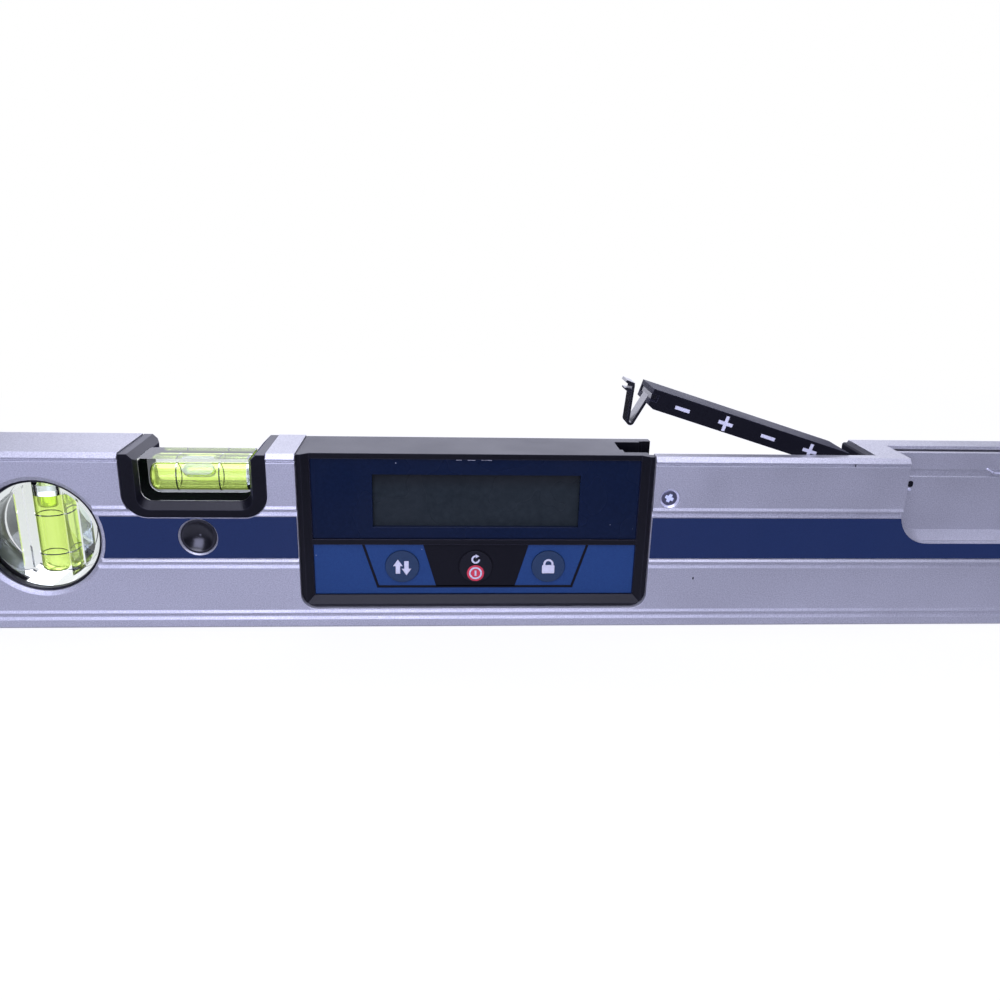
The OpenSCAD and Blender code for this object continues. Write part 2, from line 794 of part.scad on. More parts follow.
// Battery box: one moulding with four wells, the hinge cheeks and the end block
module battery_box() {
    color([0.1, 0.1, 0.12])
    difference() {
        union() {
            span([box_x, -box_w / 2, floor_t + seat], [cheek_x + shell, box_w / 2, box_top]);
            for (turn = [0, 1]) mirror([0, turn, 0])
                span([cheek_x, cheek_in, bracket_z], [bracket_right, box_w / 2, roof_z - seat]);
            span([cheek_x, -box_w / 2, bracket_z], [bracket_right, box_w / 2, bracket_z + shell]);
            along_y(-box_w / 2, block_back)
                polygon([[block_x, roof_z - 2 * seat], [block_x + block_t, roof_z - 2 * seat],
                    [block_x + block_t, block_top], [block_x + 0.5, block_top], [block_x, block_top - 0.5]]);
            pin_y(screw_x, screw_z, 3, -face_y + panel_depth + wall + rib + seat, -box_w / 2 + over);
        }
        for (x = cell_x) translate([x, 0, well_floor]) cylinder(r = well_r, h = rail_h);
        span([cell_x[0], -4, well_floor], [cell_x[3], 4, box_top + over]);
        // room for the lid's latch beside the first cell
        span([box_x - over, -latch_w / 2 - 0.4, pocket_z], [lid_x + 2.6, latch_w / 2 + 0.4, box_top + over]);
        // room for the lid's tongue between the cheeks
        span([cheek_x - over, -cheek_in, box_top - 3.4], [block_x + block_t + over, cheek_in, roof_z]);
        hinge_slot();
        pin_y(screw_x, screw_z, screw_shank_r + slip, -box_w, screw_tip_y + slip);
    }
}

// Slot in both cheeks that the hinge pin slides along
module hinge_slot() {
    r = pin_r + slip;
    pin_y(pin_x - 0.3, pin_z, r, -box_w, box_w);
    pin_y(pin_closed_x + 0.3, pin_z, r, -box_w, box_w);
    span([pin_x - 0.3, -box_w, pin_z - r], [pin_closed_x + 0.3, box_w, pin_z + r]);
}

// Four upright cells, every second one with its nub up
module battery_cells() {
    color([0.3, 0.3, 0.34])
    for (i = [0:3]) translate([cell_x[i], 0, cell_z]) {
        up = i % 2 == 1;
        translate([0, 0, up ? 0 : nub_h]) cylinder(r = cell_r, h = cell_len - nub_h);
        translate([0, 0, up ? cell_len - nub_h - over : 0]) cylinder(r = nub_r, h = nub_h + over);
    }
}

// Contacts on the floor of the wells: a link for the middle cells and a pad at each end
module cell_contacts() {
    color("gold")
    for (pair = [[0, 0], [1, 2], [3, 3]])
        span([cell_x[pair[0]] - pad_w / 2, -pad_w / 2, well_floor],
             [cell_x[pair[1]] + pad_w / 2, pad_w / 2, well_floor + strip_t]);
}

// Carries what belongs to the lid from its own frame, flat with the origin at the free end
module lid_place() {
    translate([pin_x, 0, pin_z]) rotate([0, lid_angle, 0]) translate([-pin_from_end, 0, pin_depth]) children();
}

// Lid: an inverted tray with a pocket for the latch and a tongue that turns on the hinge pin
module battery_lid() {
    color([0.09, 0.09, 0.12])
    lid_place()
    difference() {
        union() {
            along_y(-lid_w / 2, lid_w / 2)
                polygon([[0, 0], [lid_len, 0], [lid_len, -plate_t], [skirt_len, -plate_t],
                    [skirt_len, -lid_h], [2, -lid_h], [0, 0.9 - lid_h]]);
            along_y(-tongue_w / 2, tongue_w / 2) {
                polygon([[skirt_len - over, -1.2], [lid_len - 0.3, -1.2], [lid_len + 0.3, barrel_r - pin_depth],
                    [pin_from_end, barrel_r - pin_depth], [pin_from_end, -pin_depth - barrel_r],
                    [pin_from_end - 2.5, -pin_depth - 0.5], [skirt_len - over, -pin_depth - 0.5]]);
                translate([pin_from_end, -pin_depth]) circle(barrel_r);
            }
        }
        pin_y(pin_from_end, -pin_depth, pin_r + slip, -lid_w, lid_w);
        // hollow over the cells; the lower part reaches past the first and the last cell
        span([root_pocket + 1, lid_skirt - lid_w / 2, -lid_h - over],
             [skirt_len - lid_skirt, lid_w / 2 - lid_skirt, -lid_t]);
        span([3.6, lid_skirt - lid_w / 2, -lid_h - over], [skirt_len + over, lid_w / 2 - lid_skirt, -pin_depth + 0.3]);
        latch_seat();
    }
}

// Pocket that holds the latch by its root, the slot its leg comes out of and the side window
module latch_seat() {
    span([-over, -root_w / 2 - fit, -3.7], [root_pocket, root_w / 2 + fit, -1.7]);
    span([-over, -latch_w / 2 - 0.4, -lid_h - over], [2.9, latch_w / 2 + 0.4, -3]);
    span([-over, -lid_w, -3.9], [2.3, -root_w / 2, -1.7]);
}

// A straight leg of the latch between two points of its section
module leg(p, q) {
    d = q - p;
    n = [-d[1], d[0]] / norm(d) * latch_t / 2;
    polygon([p + n, p - n, q - n, q + n]);
}

// Latch: a V bent from one strip, with its root in the lid, a thumb tab and a catch
module lid_latch() {
    color([0.13, 0.13, 0.16])
    lid_place() {
        along_y(-latch_w / 2, latch_w / 2) {
            leg([0.7, -3.2], [bend[0] + bend_r, bend[1]]);
            leg([bend[0] - bend_r, bend[1]], [-5.4, -1.6]);
            translate(bend) intersection() {
                difference() {
                    circle(bend_r + latch_t / 2);
                    circle(bend_r - latch_t / 2);
                }
                translate([-3, -3]) square([6, 3.1]);
            }
            polygon([[-5.9, -2.1], [-4.9, -2], [-5.2, -0.8], [-8, -0.6], [-8.2, -1.4]]);
        }
        along_y(-latch_w / 2 + 1.2, latch_w / 2 - 1.2)
            polygon([[-5.4, -2.9], [-7.6, -3.3], [-7.4, -3.8], [-4.9, -4.7]]);
        span([0.3, -root_w / 2, -3.55], [2.3, root_w / 2, -1.85]);
    }
}

// Two contact strips in the lid, each bent down to a pair of cells
module lid_contacts() {
    color("gold")
    lid_place() for (pair = [0, 2]) {
        s = [for (i = [pair, pair + 1]) cell_x[i] - lid_x];
        span([s[0] - 3.4, -2.6, -lid_t - seat - contact_t], [s[1] + 3.4, 2.6, -lid_t - seat]);
        for (c = s) along_y(-2, 2)
            polygon([[c - 3, -lid_t - seat], [c - 0.8, cell_gap], [c + 0.8, cell_gap], [c + 3, -lid_t - seat],
                [c + 2.4, -lid_t - seat], [c + 0.5, cell_gap + contact_t], [c - 0.5, cell_gap + contact_t],
                [c - 2.4, -lid_t - seat]]);
    }
}

module hinge_pin() {
    color("silver")
    pin_y(pin_x, pin_z, pin_r, -box_w / 2 + 0.1, box_w / 2 - 0.1);
}

// Tray behind the grip opening, with a back wall, sloping sides and a shelf behind it
module grip_insert() {
    color("silver")
    difference() {
        union() {
            along_y(tray_front, tray_back + tray_wall)
                round_foot(tray_x, grip_z - tray_wall, grip_len + 2 * tray_wall, roof_z - fit, grip_r + tray_wall);
            span([grip_x + fit, tray_back, roof_z - over],
                 [grip_x + grip_len - fit, tray_back + tray_wall, tray_top]);
            span([grip_x + fit, tray_back, tray_shelf - tray_wall],
                 [grip_x + grip_len - fit, face_y - grip_strip - fit, tray_shelf]);
        }
        hull() {
            along_y(tray_front - over, tray_front)
                round_foot(tray_x, grip_z, grip_len, rail_h + over, grip_r, $fn = 48);
            along_y(tray_back - 0.1, tray_back)
                round_foot(tray_x, grip_z + tray_slope, grip_len - 2 * tray_slope, rail_h + over,
                    grip_r - tray_slope, $fn = 48);
        }
        span([grip_x + tray_slope, tray_back - over, tray_groove_z],
             [grip_x + grip_len - tray_slope, tray_back + tray_groove_t, tray_groove_z + tray_groove_h]);
    }
}

level_rail();
left_end_cap();
right_end_cap();
front_stripe();
back_stripe();
display_housing();
front_panel();
keypad_cover();
lcd_frame();
lcd_glass();
circuit_board();
tilt_sensor();
key_switches();
board_screws();
unit_key();
power_key();
hold_key();
side_screw();
vial_holder();
level_vial_block();
level_vial_fluid();
level_vial_rings();
level_vial_plug();
round_plug();
plumb_ring();
plumb_vial_block();
plumb_vial_fluid();
plumb_vial_rings();
plumb_vial_plug();
battery_box();
battery_cells();
cell_contacts();
battery_lid();
lid_contacts();
hinge_pin();
lid_latch();
grip_insert();
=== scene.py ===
import bpy
import json
import math
from mathutils import Matrix, Vector

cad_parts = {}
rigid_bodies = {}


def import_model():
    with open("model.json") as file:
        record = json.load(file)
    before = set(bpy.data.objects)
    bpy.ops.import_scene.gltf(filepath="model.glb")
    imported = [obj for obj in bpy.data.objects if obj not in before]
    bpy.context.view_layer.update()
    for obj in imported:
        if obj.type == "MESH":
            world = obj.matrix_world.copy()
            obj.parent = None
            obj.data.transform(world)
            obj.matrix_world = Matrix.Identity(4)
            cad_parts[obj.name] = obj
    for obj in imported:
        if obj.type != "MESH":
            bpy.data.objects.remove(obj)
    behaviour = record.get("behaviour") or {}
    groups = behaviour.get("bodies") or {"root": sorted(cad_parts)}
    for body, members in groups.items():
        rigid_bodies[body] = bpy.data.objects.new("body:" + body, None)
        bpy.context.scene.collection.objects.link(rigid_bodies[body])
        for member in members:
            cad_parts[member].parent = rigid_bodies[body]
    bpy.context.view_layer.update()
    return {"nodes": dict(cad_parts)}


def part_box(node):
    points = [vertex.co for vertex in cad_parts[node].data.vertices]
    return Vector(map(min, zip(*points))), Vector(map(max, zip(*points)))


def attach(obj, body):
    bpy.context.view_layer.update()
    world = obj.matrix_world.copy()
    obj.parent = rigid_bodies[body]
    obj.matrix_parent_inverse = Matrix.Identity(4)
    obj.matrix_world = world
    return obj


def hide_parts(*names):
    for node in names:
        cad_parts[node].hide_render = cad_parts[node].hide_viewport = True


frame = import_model()
nodes = frame["nodes"]
print("frame loaded:", len(nodes), "nodes")

mm = 0.001
# Millimetres: how near counts as the same place, and how far a cutter reaches past what it cuts
nearly = 0.01
past = 1
# Metres: two points closer than this are in line
tiny = 1e-6
# A face looks along an axis when its normal has more than this share of it
facing = 0.9


# Small helpers for working by hand on one piece at a time
def deselectAll():
    for obj in bpy.context.view_layer.objects:
        obj.select_set(False)


def pick(obj):
    deselectAll()
    obj.select_set(True)
    bpy.context.view_layer.objects.active = obj


def applyPlace(obj):
    pick(obj)
    bpy.ops.object.transform_apply(location=True, rotation=True, scale=True)


def applyModifiers(obj):
    pick(obj)
    for modifier in list(obj.modifiers):
        bpy.ops.object.modifier_apply(modifier=modifier.name)


def selectParts(obj, mode, test):
    # Opens the piece in edit mode with the vertices, edges or faces that pass the test selected
    pick(obj)
    bpy.ops.object.mode_set(mode="EDIT")
    bpy.ops.mesh.select_mode(type=mode)
    bpy.ops.mesh.select_all(action="DESELECT")
    bpy.ops.object.mode_set(mode="OBJECT")
    points = obj.data.vertices
    if mode == "VERT":
        for vertex in points:
            vertex.select = test(vertex.co)
    if mode == "EDGE":
        for edge in obj.data.edges:
            edge.select = test(points[edge.vertices[0]].co, points[edge.vertices[1]].co)
    if mode == "FACE":
        for face in obj.data.polygons:
            face.select = test(face.center, face.normal)
    bpy.ops.object.mode_set(mode="EDIT")


def leaveEdit():
    bpy.ops.object.mode_set(mode="OBJECT")


def runsDeep(a, b):
    # True for an edge that runs straight from front to back
    return abs(a.x - b.x) < tiny and abs(a.z - b.z) < tiny


def turnFlat(obj, angle, centre):
    # Turns a piece in the plane of the front; angle in radians, centre in metres
    selectParts(obj, "VERT", lambda co: True)
    bpy.ops.transform.rotate(value=angle, orient_axis="Y", center_override=centre)
    leaveEdit()


def addBox(name, low, high):
    # Corners in millimetres
    centre = [(a + b) / 2 * mm for a, b in zip(low, high)]
    size = [(b - a) * mm for a, b in zip(low, high)]
    deselectAll()
    bpy.ops.mesh.primitive_cube_add(size=1, location=centre, scale=size)
    obj = bpy.context.object
    obj.name = name
    applyPlace(obj)
    return obj


def addDisc(name, centre, radius, depth, sides=48):
    # A round plate that faces the front; centre in millimetres
    deselectAll()
    bpy.ops.mesh.primitive_cylinder_add(
        vertices=sides, radius=radius * mm, depth=depth * mm,
        location=[c * mm for c in centre], rotation=(math.pi / 2, 0, 0))
    obj = bpy.context.object
    obj.name = name
    applyPlace(obj)
    return obj


def addRod(radius, length, sides, middle=0):
    # A round rod along X; sizes in millimetres
    deselectAll()
    bpy.ops.mesh.primitive_cylinder_add(
        vertices=sides, radius=radius * mm, depth=length * mm,
        rotation=(0, math.pi / 2, 0), location=(middle * mm, 0, 0))
    obj = bpy.context.object
    applyPlace(obj)
    return obj


def boxInMm(nodeName):
    return [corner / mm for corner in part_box(nodeName)]


def softenEdges(obj, width=0.02, segments=1, angle=40):
    pick(obj)
    bevel = obj.modifiers.new("soften", "BEVEL")
    bevel.width = width * mm
    bevel.segments = segments
    bevel.limit_method = "ANGLE"
    bevel.angle_limit = math.radians(angle)
    applyModifiers(obj)


def cutWith(obj, cutter, operation="DIFFERENCE"):
    pick(obj)
    cut = obj.modifiers.new("cut", "BOOLEAN")
    cut.operation = operation
    cut.solver = "EXACT"
    cut.object = cutter
    bpy.ops.object.modifier_apply(modifier=cut.name)
    bpy.data.objects.remove(cutter)


def joinAll(name, pieces):
    pick(pieces[0])
    for piece in pieces[1:]:
        piece.select_set(True)
    bpy.ops.object.join()
    pieces[0].name = name
    return pieces[0]


def fileAway(obj, body, material, smooth=30):
    pick(obj)
    bpy.ops.object.shade_smooth_by_angle(angle=math.radians(smooth))
    obj.data.materials.clear()
    obj.data.materials.append(material)
    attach(obj, body)


# Shader node groups that several finishes share, and the values in them
grainNoise = {"scale": 1500.0, "detail": 3.0, "roughness": 0.7, "cloudScale": 45.0, "cloudDetail": 2.0}
edgeLook = {"sharpness": 4.0, "radius": 0.35, "samples": 4}
dustLook = {"scale": 260.0, "size": 0.055, "share": 0.72, "tint": (0.6, 0.65, 0.75)}
sheenLook = {"roughness": 0.4, "tint": (0.5, 0.52, 1.0)}
speckleBand = {"low": 0.3, "high": 0.7}
roughSwing = 0.05
# Bump distance in millimetres, and how far the painted shadow of a finish darkens at most
bumpDistance = 0.1
paintedShadowStrength = 0.75


def newGroup(name, inputs, outputs):
    group = bpy.data.node_groups.new(name, "ShaderNodeTree")
    for label, kind, value in inputs:
        socket = group.interface.new_socket(label, in_out="INPUT", socket_type=kind)
        socket.default_value = value
    for label, kind in outputs:
        group.interface.new_socket(label, in_out="OUTPUT", socket_type=kind)
    start = group.nodes.new("NodeGroupInput")
    end = group.nodes.new("NodeGroupOutput")
    return group, start, end


def addNode(tree, kind, **settings):
    node = tree.nodes.new(kind)
    for key, value in settings.items():
        setattr(node, key, value)
    return node


def addMath(tree, operation, first, second):
    node = addNode(tree, "ShaderNodeMath", operation=operation)
    for index, value in enumerate((first, second)):
        if isinstance(value, (int, float)):
            node.inputs[index].default_value = value
        else:
            tree.links.new(value, node.inputs[index])
    return node.outputs[0]


def buildGrain():
    # Two sizes of speckle, as on blasted and anodised metal or moulded plastic
    group, start, end = newGroup(
        "fineGrain",
        [("Scale", "NodeSocketFloat", grainNoise["scale"]), ("Stretch", "NodeSocketVector", (1, 1, 1))],
        [("Speckle", "NodeSocketFloat"), ("Cloud", "NodeSocketFloat")])
    place = addNode(group, "ShaderNodeTexCoord")
    stretch = addNode(group, "ShaderNodeVectorMath", operation="MULTIPLY")
    group.links.new(place.outputs["Object"], stretch.inputs[0])
    group.links.new(start.outputs["Stretch"], stretch.inputs[1])
    fine = addNode(group, "ShaderNodeTexNoise")
    fine.inputs["Detail"].default_value = grainNoise["detail"]
    fine.inputs["Roughness"].default_value = grainNoise["roughness"]
    group.links.new(stretch.outputs[0], fine.inputs["Vector"])
    group.links.new(start.outputs["Scale"], fine.inputs["Scale"])
    cloud = addNode(group, "ShaderNodeTexNoise")
    cloud.inputs["Scale"].default_value = grainNoise["cloudScale"]
    cloud.inputs["Detail"].default_value = grainNoise["cloudDetail"]
    group.links.new(stretch.outputs[0], cloud.inputs["Vector"])
    group.links.new(fine.outputs["Fac"], end.inputs["Speckle"])
    group.links.new(cloud.outputs["Fac"], end.inputs["Cloud"])
    return group


def buildEdges():
    # Rounded look of sharp edges, and a mask of where they are
    group, start, end = newGroup(
        "edgeWear",
        [("Sharpness", "NodeSocketFloat", edgeLook["sharpness"]),
         ("Radius", "NodeSocketFloat", edgeLook["radius"] * mm)],
        [("Normal", "NodeSocketVector"), ("Edge", "NodeSocketFloat")])
    rounded = addNode(group, "ShaderNodeBevel", samples=edgeLook["samples"])
    group.links.new(start.outputs["Radius"], rounded.inputs["Radius"])
    flat = addNode(group, "ShaderNodeNewGeometry")
    dot = addNode(group, "ShaderNodeVectorMath", operation="DOT_PRODUCT")
    group.links.new(rounded.outputs["Normal"], dot.inputs[0])
    group.links.new(flat.outputs["Normal"], dot.inputs[1])
    turned = addMath(group, "SUBTRACT", 1.0, dot.outputs["Value"])
    mask = addMath(group, "MULTIPLY", turned, start.outputs["Sharpness"])
    group.links.new(rounded.outputs["Normal"], end.inputs["Normal"])
    group.links.new(mask, end.inputs["Edge"])
    return group


def buildDust():
    # Sparse pale specks of dust and lint
    group, start, end = newGroup(
        "dustSpecks",
        [("Scale", "NodeSocketFloat", dustLook["scale"]), ("Size", "NodeSocketFloat", dustLook["size"])],
        [("Speck", "NodeSocketFloat")])
    place = addNode(group, "ShaderNodeTexCoord")
    cells = addNode(group, "ShaderNodeTexVoronoi")
    group.links.new(place.outputs["Object"], cells.inputs["Vector"])
    group.links.new(start.outputs["Scale"], cells.inputs["Scale"])
    near = addMath(group, "LESS_THAN", cells.outputs["Distance"], start.outputs["Size"])
    apart = addNode(group, "ShaderNodeSeparateColor")
    group.links.new(cells.outputs["Color"], apart.inputs[0])
    chosen = addMath(group, "GREATER_THAN", apart.outputs[0], dustLook["share"])
    group.links.new(addMath(group, "MULTIPLY", near, chosen), end.inputs["Speck"])
    return group


grainGroup = buildGrain()
edgeGroup = buildEdges()
dustGroup = buildDust()
print("shader groups built")


def useGroup(tree, group, **values):
    node = addNode(tree, "ShaderNodeGroup", node_tree=group)
    for key, value in values.items():
        node.inputs[key].default_value = value
    return node


def mixColours(tree, mask, first, second):
    # Inputs 6 and 7 and output 2 are the node's sockets for colours
    node = addNode(tree, "ShaderNodeMix", data_type="RGBA")
    tree.links.new(mask, node.inputs["Factor"])
    for index, value in ((6, first), (7, second)):
        if isinstance(value, (tuple, list)):
            node.inputs[index].default_value = (*value[:3], 1)
        else:
            tree.links.new(value, node.inputs[index])
    return node.outputs[2]


def rampMask(tree, source, low, high, outLow=0.0, outHigh=1.0):
    node = addNode(tree, "ShaderNodeMapRange")
    tree.links.new(source, node.inputs["Value"])
    limits = {"From Min": low, "From Max": high, "To Min": outLow, "To Max": outHigh}
    for label, value in limits.items():
        node.inputs[label].default_value = value
    return node.outputs["Result"]


def newMaterial(name):
    material = bpy.data.materials.new(name)
    material.use_nodes = True
    tree = material.node_tree
    return material, tree, tree.nodes["Principled BSDF"]


# One finish: two tones of speckle with a soft bump and, where asked, a pale edge, a painted shadow and dust
def buildFinish(name, look):
    material, tree, shader = newMaterial(name)
    grain = useGroup(tree, grainGroup, Scale=look["grainScale"], Stretch=look.get("stretch", (1, 1, 1)))
    edges = useGroup(tree, edgeGroup, Sharpness=look.get("sharpness", edgeLook["sharpness"]),
                     Radius=look.get("edgeRadius", edgeLook["radius"]) * mm)
    speckle = rampMask(tree, grain.outputs["Speckle"], speckleBand["low"], speckleBand["high"])
    colour = mixColours(tree, speckle, look["dark"], look["light"])
    if "edge" in look:
        colour = mixColours(tree, edges.outputs["Edge"], colour, look["edge"])
    if "paintedShadowHeights" in look:
        # Painted shadow: darker towards a height, as under the lip of a window
        place = addNode(tree, "ShaderNodeTexCoord")
        apart = addNode(tree, "ShaderNodeSeparateXYZ")
        tree.links.new(place.outputs["Object"], apart.inputs[0])
        low, high = [height * mm for height in look["paintedShadowHeights"]]
        shaded = rampMask(tree, apart.outputs["Z"], low, high, 0.0, paintedShadowStrength)
        colour = mixColours(tree, shaded, colour, look["dark"][:1] * 3)
    if "dust" in look:
        dust = useGroup(tree, dustGroup, Scale=look.get("dustScale", dustLook["scale"]))
        faint = addMath(tree, "MULTIPLY", dust.outputs["Speck"], look["dust"])
        colour = mixColours(tree, faint, colour, dustLook["tint"])
    tree.links.new(colour, shader.inputs["Base Color"])
    rough = rampMask(tree, grain.outputs["Cloud"], speckleBand["low"], speckleBand["high"],
                     look["rough"] - roughSwing, look["rough"] + roughSwing)
    tree.links.new(rough, shader.inputs["Roughness"])
    bump = addNode(tree, "ShaderNodeBump")
    bump.inputs["Strength"].default_value = look["bump"]
    bump.inputs["Distance"].default_value = bumpDistance * mm
    tree.links.new(grain.outputs["Speckle"], bump.inputs["Height"])
    tree.links.new(edges.outputs["Normal"], bump.inputs["Normal"])
    tree.links.new(bump.outputs["Normal"], shader.inputs["Normal"])
    shader.inputs["Metallic"].default_value = look.get("metal", 0.0)
    shader.inputs["Specular IOR Level"].default_value = look.get("specular", 0.5)
    shader.inputs["Coat Weight"].default_value = look.get("coat", 0.0)
    shader.inputs["Coat Roughness"].default_value = look.get("coatRough", 0.03)
    shader.inputs["Sheen Weight"].default_value = look.get("sheen", 0.0)
    shader.inputs["Sheen Roughness"].default_value = sheenLook["roughness"]
    shader.inputs["Sheen Tint"].default_value = (*sheenLook["tint"], 1)
    shader.inputs["Alpha"].default_value = look.get("alpha", 1.0)
    return material


def buildClear(name, look):
    material, tree, shader = newMaterial(name)
    grain = useGroup(tree, grainGroup, Scale=400.0)
    tint = mixColours(tree, grain.outputs["Cloud"], look["dark"], look["light"])
    tree.links.new(tint, shader.inputs["Base Color"])
    shader.inputs["Roughness"].default_value = look["rough"]
    shader.inputs["IOR"].default_value = look["ior"]
    shader.inputs["Transmission Weight"].default_value = 1.0
    # Painted light: a clear finish may glow faintly by itself, as the vial fluid does, though it is no lamp
    shader.inputs["Emission Color"].default_value = (*look.get("paintedGlowTint", (1, 1, 1)), 1)
    shader.inputs["Emission Strength"].default_value = look.get("glow", 0.0)
    return material


finishes = {
    "aluminium": dict(
        dark=(0.45, 0.45, 0.475), light=(0.72, 0.72, 0.74), edge=(0.92, 0.92, 0.94), metal=0.8,
        rough=0.50, bump=0.4, grainScale=2600.0, sharpness=2.5),
    "band": dict(dark=(0.0042, 0.0155, 0.062), light=(0.0066, 0.0215, 0.077), rough=0.5, bump=0.05,
                 grainScale=2600.0, specular=0.25),
    "blackPlastic": dict(
        dark=(0.0012, 0.0012, 0.0030), light=(0.0040, 0.0040, 0.0070), edge=(0.04, 0.04, 0.055),
        rough=0.38, bump=0.35, grainScale=2200.0, sharpness=3.0, specular=0.2, coat=0.32, coatRough=0.25,
        sheen=0.08),
    "lidPlastic": dict(
        dark=(0.0025, 0.0025, 0.0050), light=(0.0060, 0.0060, 0.0100), edge=(0.05, 0.05, 0.07),
        rough=0.45, bump=0.3, grainScale=2200.0, sharpness=3.0, specular=0.15, sheen=0.06),
    "glossPlastic": dict(
        dark=(0.003, 0.003, 0.005), light=(0.006, 0.006, 0.009), edge=(0.06, 0.06, 0.09),
        rough=0.3, bump=0.1, grainScale=2200.0, sharpness=3.0, coat=0.9, coatRough=0.22),
    "panelFilm": dict(
        dark=(0.0020, 0.0065, 0.022), light=(0.0034, 0.0092, 0.029), rough=0.26, bump=0.02, grainScale=900.0,
        dust=0.4, specular=0.2),
    "keypadFilm": dict(
        dark=(0.0072, 0.033, 0.115), light=(0.0105, 0.045, 0.143), rough=0.5, bump=0.15, grainScale=2600.0,
        dust=0.2, specular=0.2),
    # Black print, also used as the painted shade inside the hole in the grip tray
    "printAndShadeBlack": dict(dark=(0.0020, 0.0020, 0.0045), light=(0.0050, 0.0050, 0.0085), rough=0.5, bump=0.1,
                       grainScale=2200.0, dust=0.15, specular=0.2),
    "blueKey": dict(dark=(0.009, 0.026, 0.064), light=(0.014, 0.037, 0.080), rough=0.55, bump=0.3,
                    grainScale=2600.0, specular=0.3),
    "blackKey": dict(dark=(0.0025, 0.0025, 0.0055), light=(0.0060, 0.0060, 0.0100), rough=0.5, bump=0.3,
                     grainScale=2600.0, specular=0.3),
    "printWhite": dict(dark=(0.46, 0.46, 0.50), light=(0.52, 0.52, 0.56), rough=0.6, bump=0.05,
                       grainScale=1500.0),
    "printRed": dict(dark=(0.46, 0.026, 0.048), light=(0.54, 0.034, 0.060), rough=0.5, bump=0.05,
                     grainScale=1500.0, specular=0.3),
    # The display darkens towards the top of its glass: a painted shadow under the window's lip, heights in
    # millimetres
    "display": dict(dark=(0.0105, 0.0155, 0.0175), light=(0.0160, 0.022, 0.024), rough=0.25, bump=0.02,
                    grainScale=500.0, dust=0.45, dustScale=200.0, specular=0.25, paintedShadowHeights=(46.0, 51.5)),
    "inkBlack": dict(dark=(0.0010, 0.0030, 0.0015), light=(0.0020, 0.0050, 0.0030), rough=0.9, bump=0.0,
                     grainScale=900.0, specular=0.0),
    "steel": dict(dark=(0.72, 0.72, 0.80), light=(0.92, 0.92, 1.0), edge=(1.0, 1.0, 1.0), metal=0.6,
                  rough=0.36, bump=0.1, grainScale=1800.0, edgeRadius=0.06),
    "screwFace": dict(dark=(0.20, 0.20, 0.28), light=(0.30, 0.30, 0.38), edge=(0.35, 0.35, 0.45), metal=0.9,
                      rough=0.3, bump=0.15, grainScale=1800.0, edgeRadius=0.06),
    # Bright bluish colour of the floor of the screw's cross: a painted highlight
    "crossPaintedHighlight": dict(dark=(0.50, 0.55, 0.68), light=(0.75, 0.80, 0.95), metal=0.2, rough=0.3, bump=0.3,
                       grainScale=1500.0, edgeRadius=0.06),
    # Pale see-through skin over the level bubble: painted light for the bubble's bright look
    "bubblePaintedLight": dict(dark=(0.86, 0.90, 0.92), light=(0.92, 0.95, 0.97), rough=0.6, bump=0.0,
                       grainScale=900.0, specular=0.2, alpha=0.3),
    "contact": dict(dark=(0.55, 0.50, 0.40), light=(0.70, 0.66, 0.56), metal=1.0, rough=0.3, bump=0.1,
                    grainScale=1500.0),
    "board": dict(dark=(0.01, 0.09, 0.03), light=(0.02, 0.13, 0.05), rough=0.3, bump=0.1, grainScale=800.0),
    "cellJacket": dict(dark=(0.03, 0.03, 0.04), light=(0.05, 0.05, 0.065), metal=0.6, rough=0.3, bump=0.05,
                       grainScale=800.0),
    "ringPaint": dict(dark=(0.004, 0.012, 0.006), light=(0.01, 0.02, 0.01), rough=0.5, bump=0.02,
                      grainScale=900.0, specular=0.1),
}
finish = {name: buildFinish(name, look) for name, look in finishes.items()}
finish["clear"] = buildClear(
    "clear", dict(dark=(0.91, 0.96, 0.95), light=(0.96, 0.99, 1.0), rough=0.0, ior=1.49))
# The fluid's faint green emission is painted light
finish["fluid"] = buildClear(
    "fluid", dict(dark=(0.74, 0.90, 0.21), light=(0.82, 0.95, 0.28), rough=0.0, ior=1.33, glow=0.11,
                  paintedGlowTint=(0.72, 0.92, 0.20)))
print("finishes built:", len(finish))

nodeFinish = {
    "level_rail": "aluminium", "left_end_cap": "blackPlastic", "right_end_cap": "blackPlastic",
    "front_stripe": "band", "back_stripe": "band", "display_housing": "blackPlastic",
    "front_panel": "panelFilm", "keypad_cover": "keypadFilm", "lcd_frame": "blackPlastic",
    "lcd_glass": "display", "circuit_board": "board", "tilt_sensor": "steel",
    "key_switches": "blackPlastic", "board_screws": "steel", "unit_key": "blueKey",
    "power_key": "blackKey", "hold_key": "blueKey", "side_screw": "steel",
    "vial_holder": "blackPlastic", "level_vial_block": "clear", "level_vial_fluid": "fluid",
    "level_vial_rings": "ringPaint", "level_vial_plug": "clear", "round_plug": "glossPlastic",
    "plumb_ring": "blackPlastic", "plumb_vial_block": "clear", "plumb_vial_fluid": "fluid",
    "plumb_vial_rings": "ringPaint", "plumb_vial_plug": "clear", "battery_box": "lidPlastic",
    "battery_cells": "cellJacket", "cell_contacts": "contact", "battery_lid": "lidPlastic",
    "lid_contacts": "contact", "hinge_pin": "steel", "lid_latch": "glossPlastic", "grip_insert": "aluminium"}
for nodeName, finishName in nodeFinish.items():
    nodes[nodeName].data.materials.clear()
    nodes[nodeName].data.materials.append(finish[finishName])
print("finishes given to the frame's nodes")

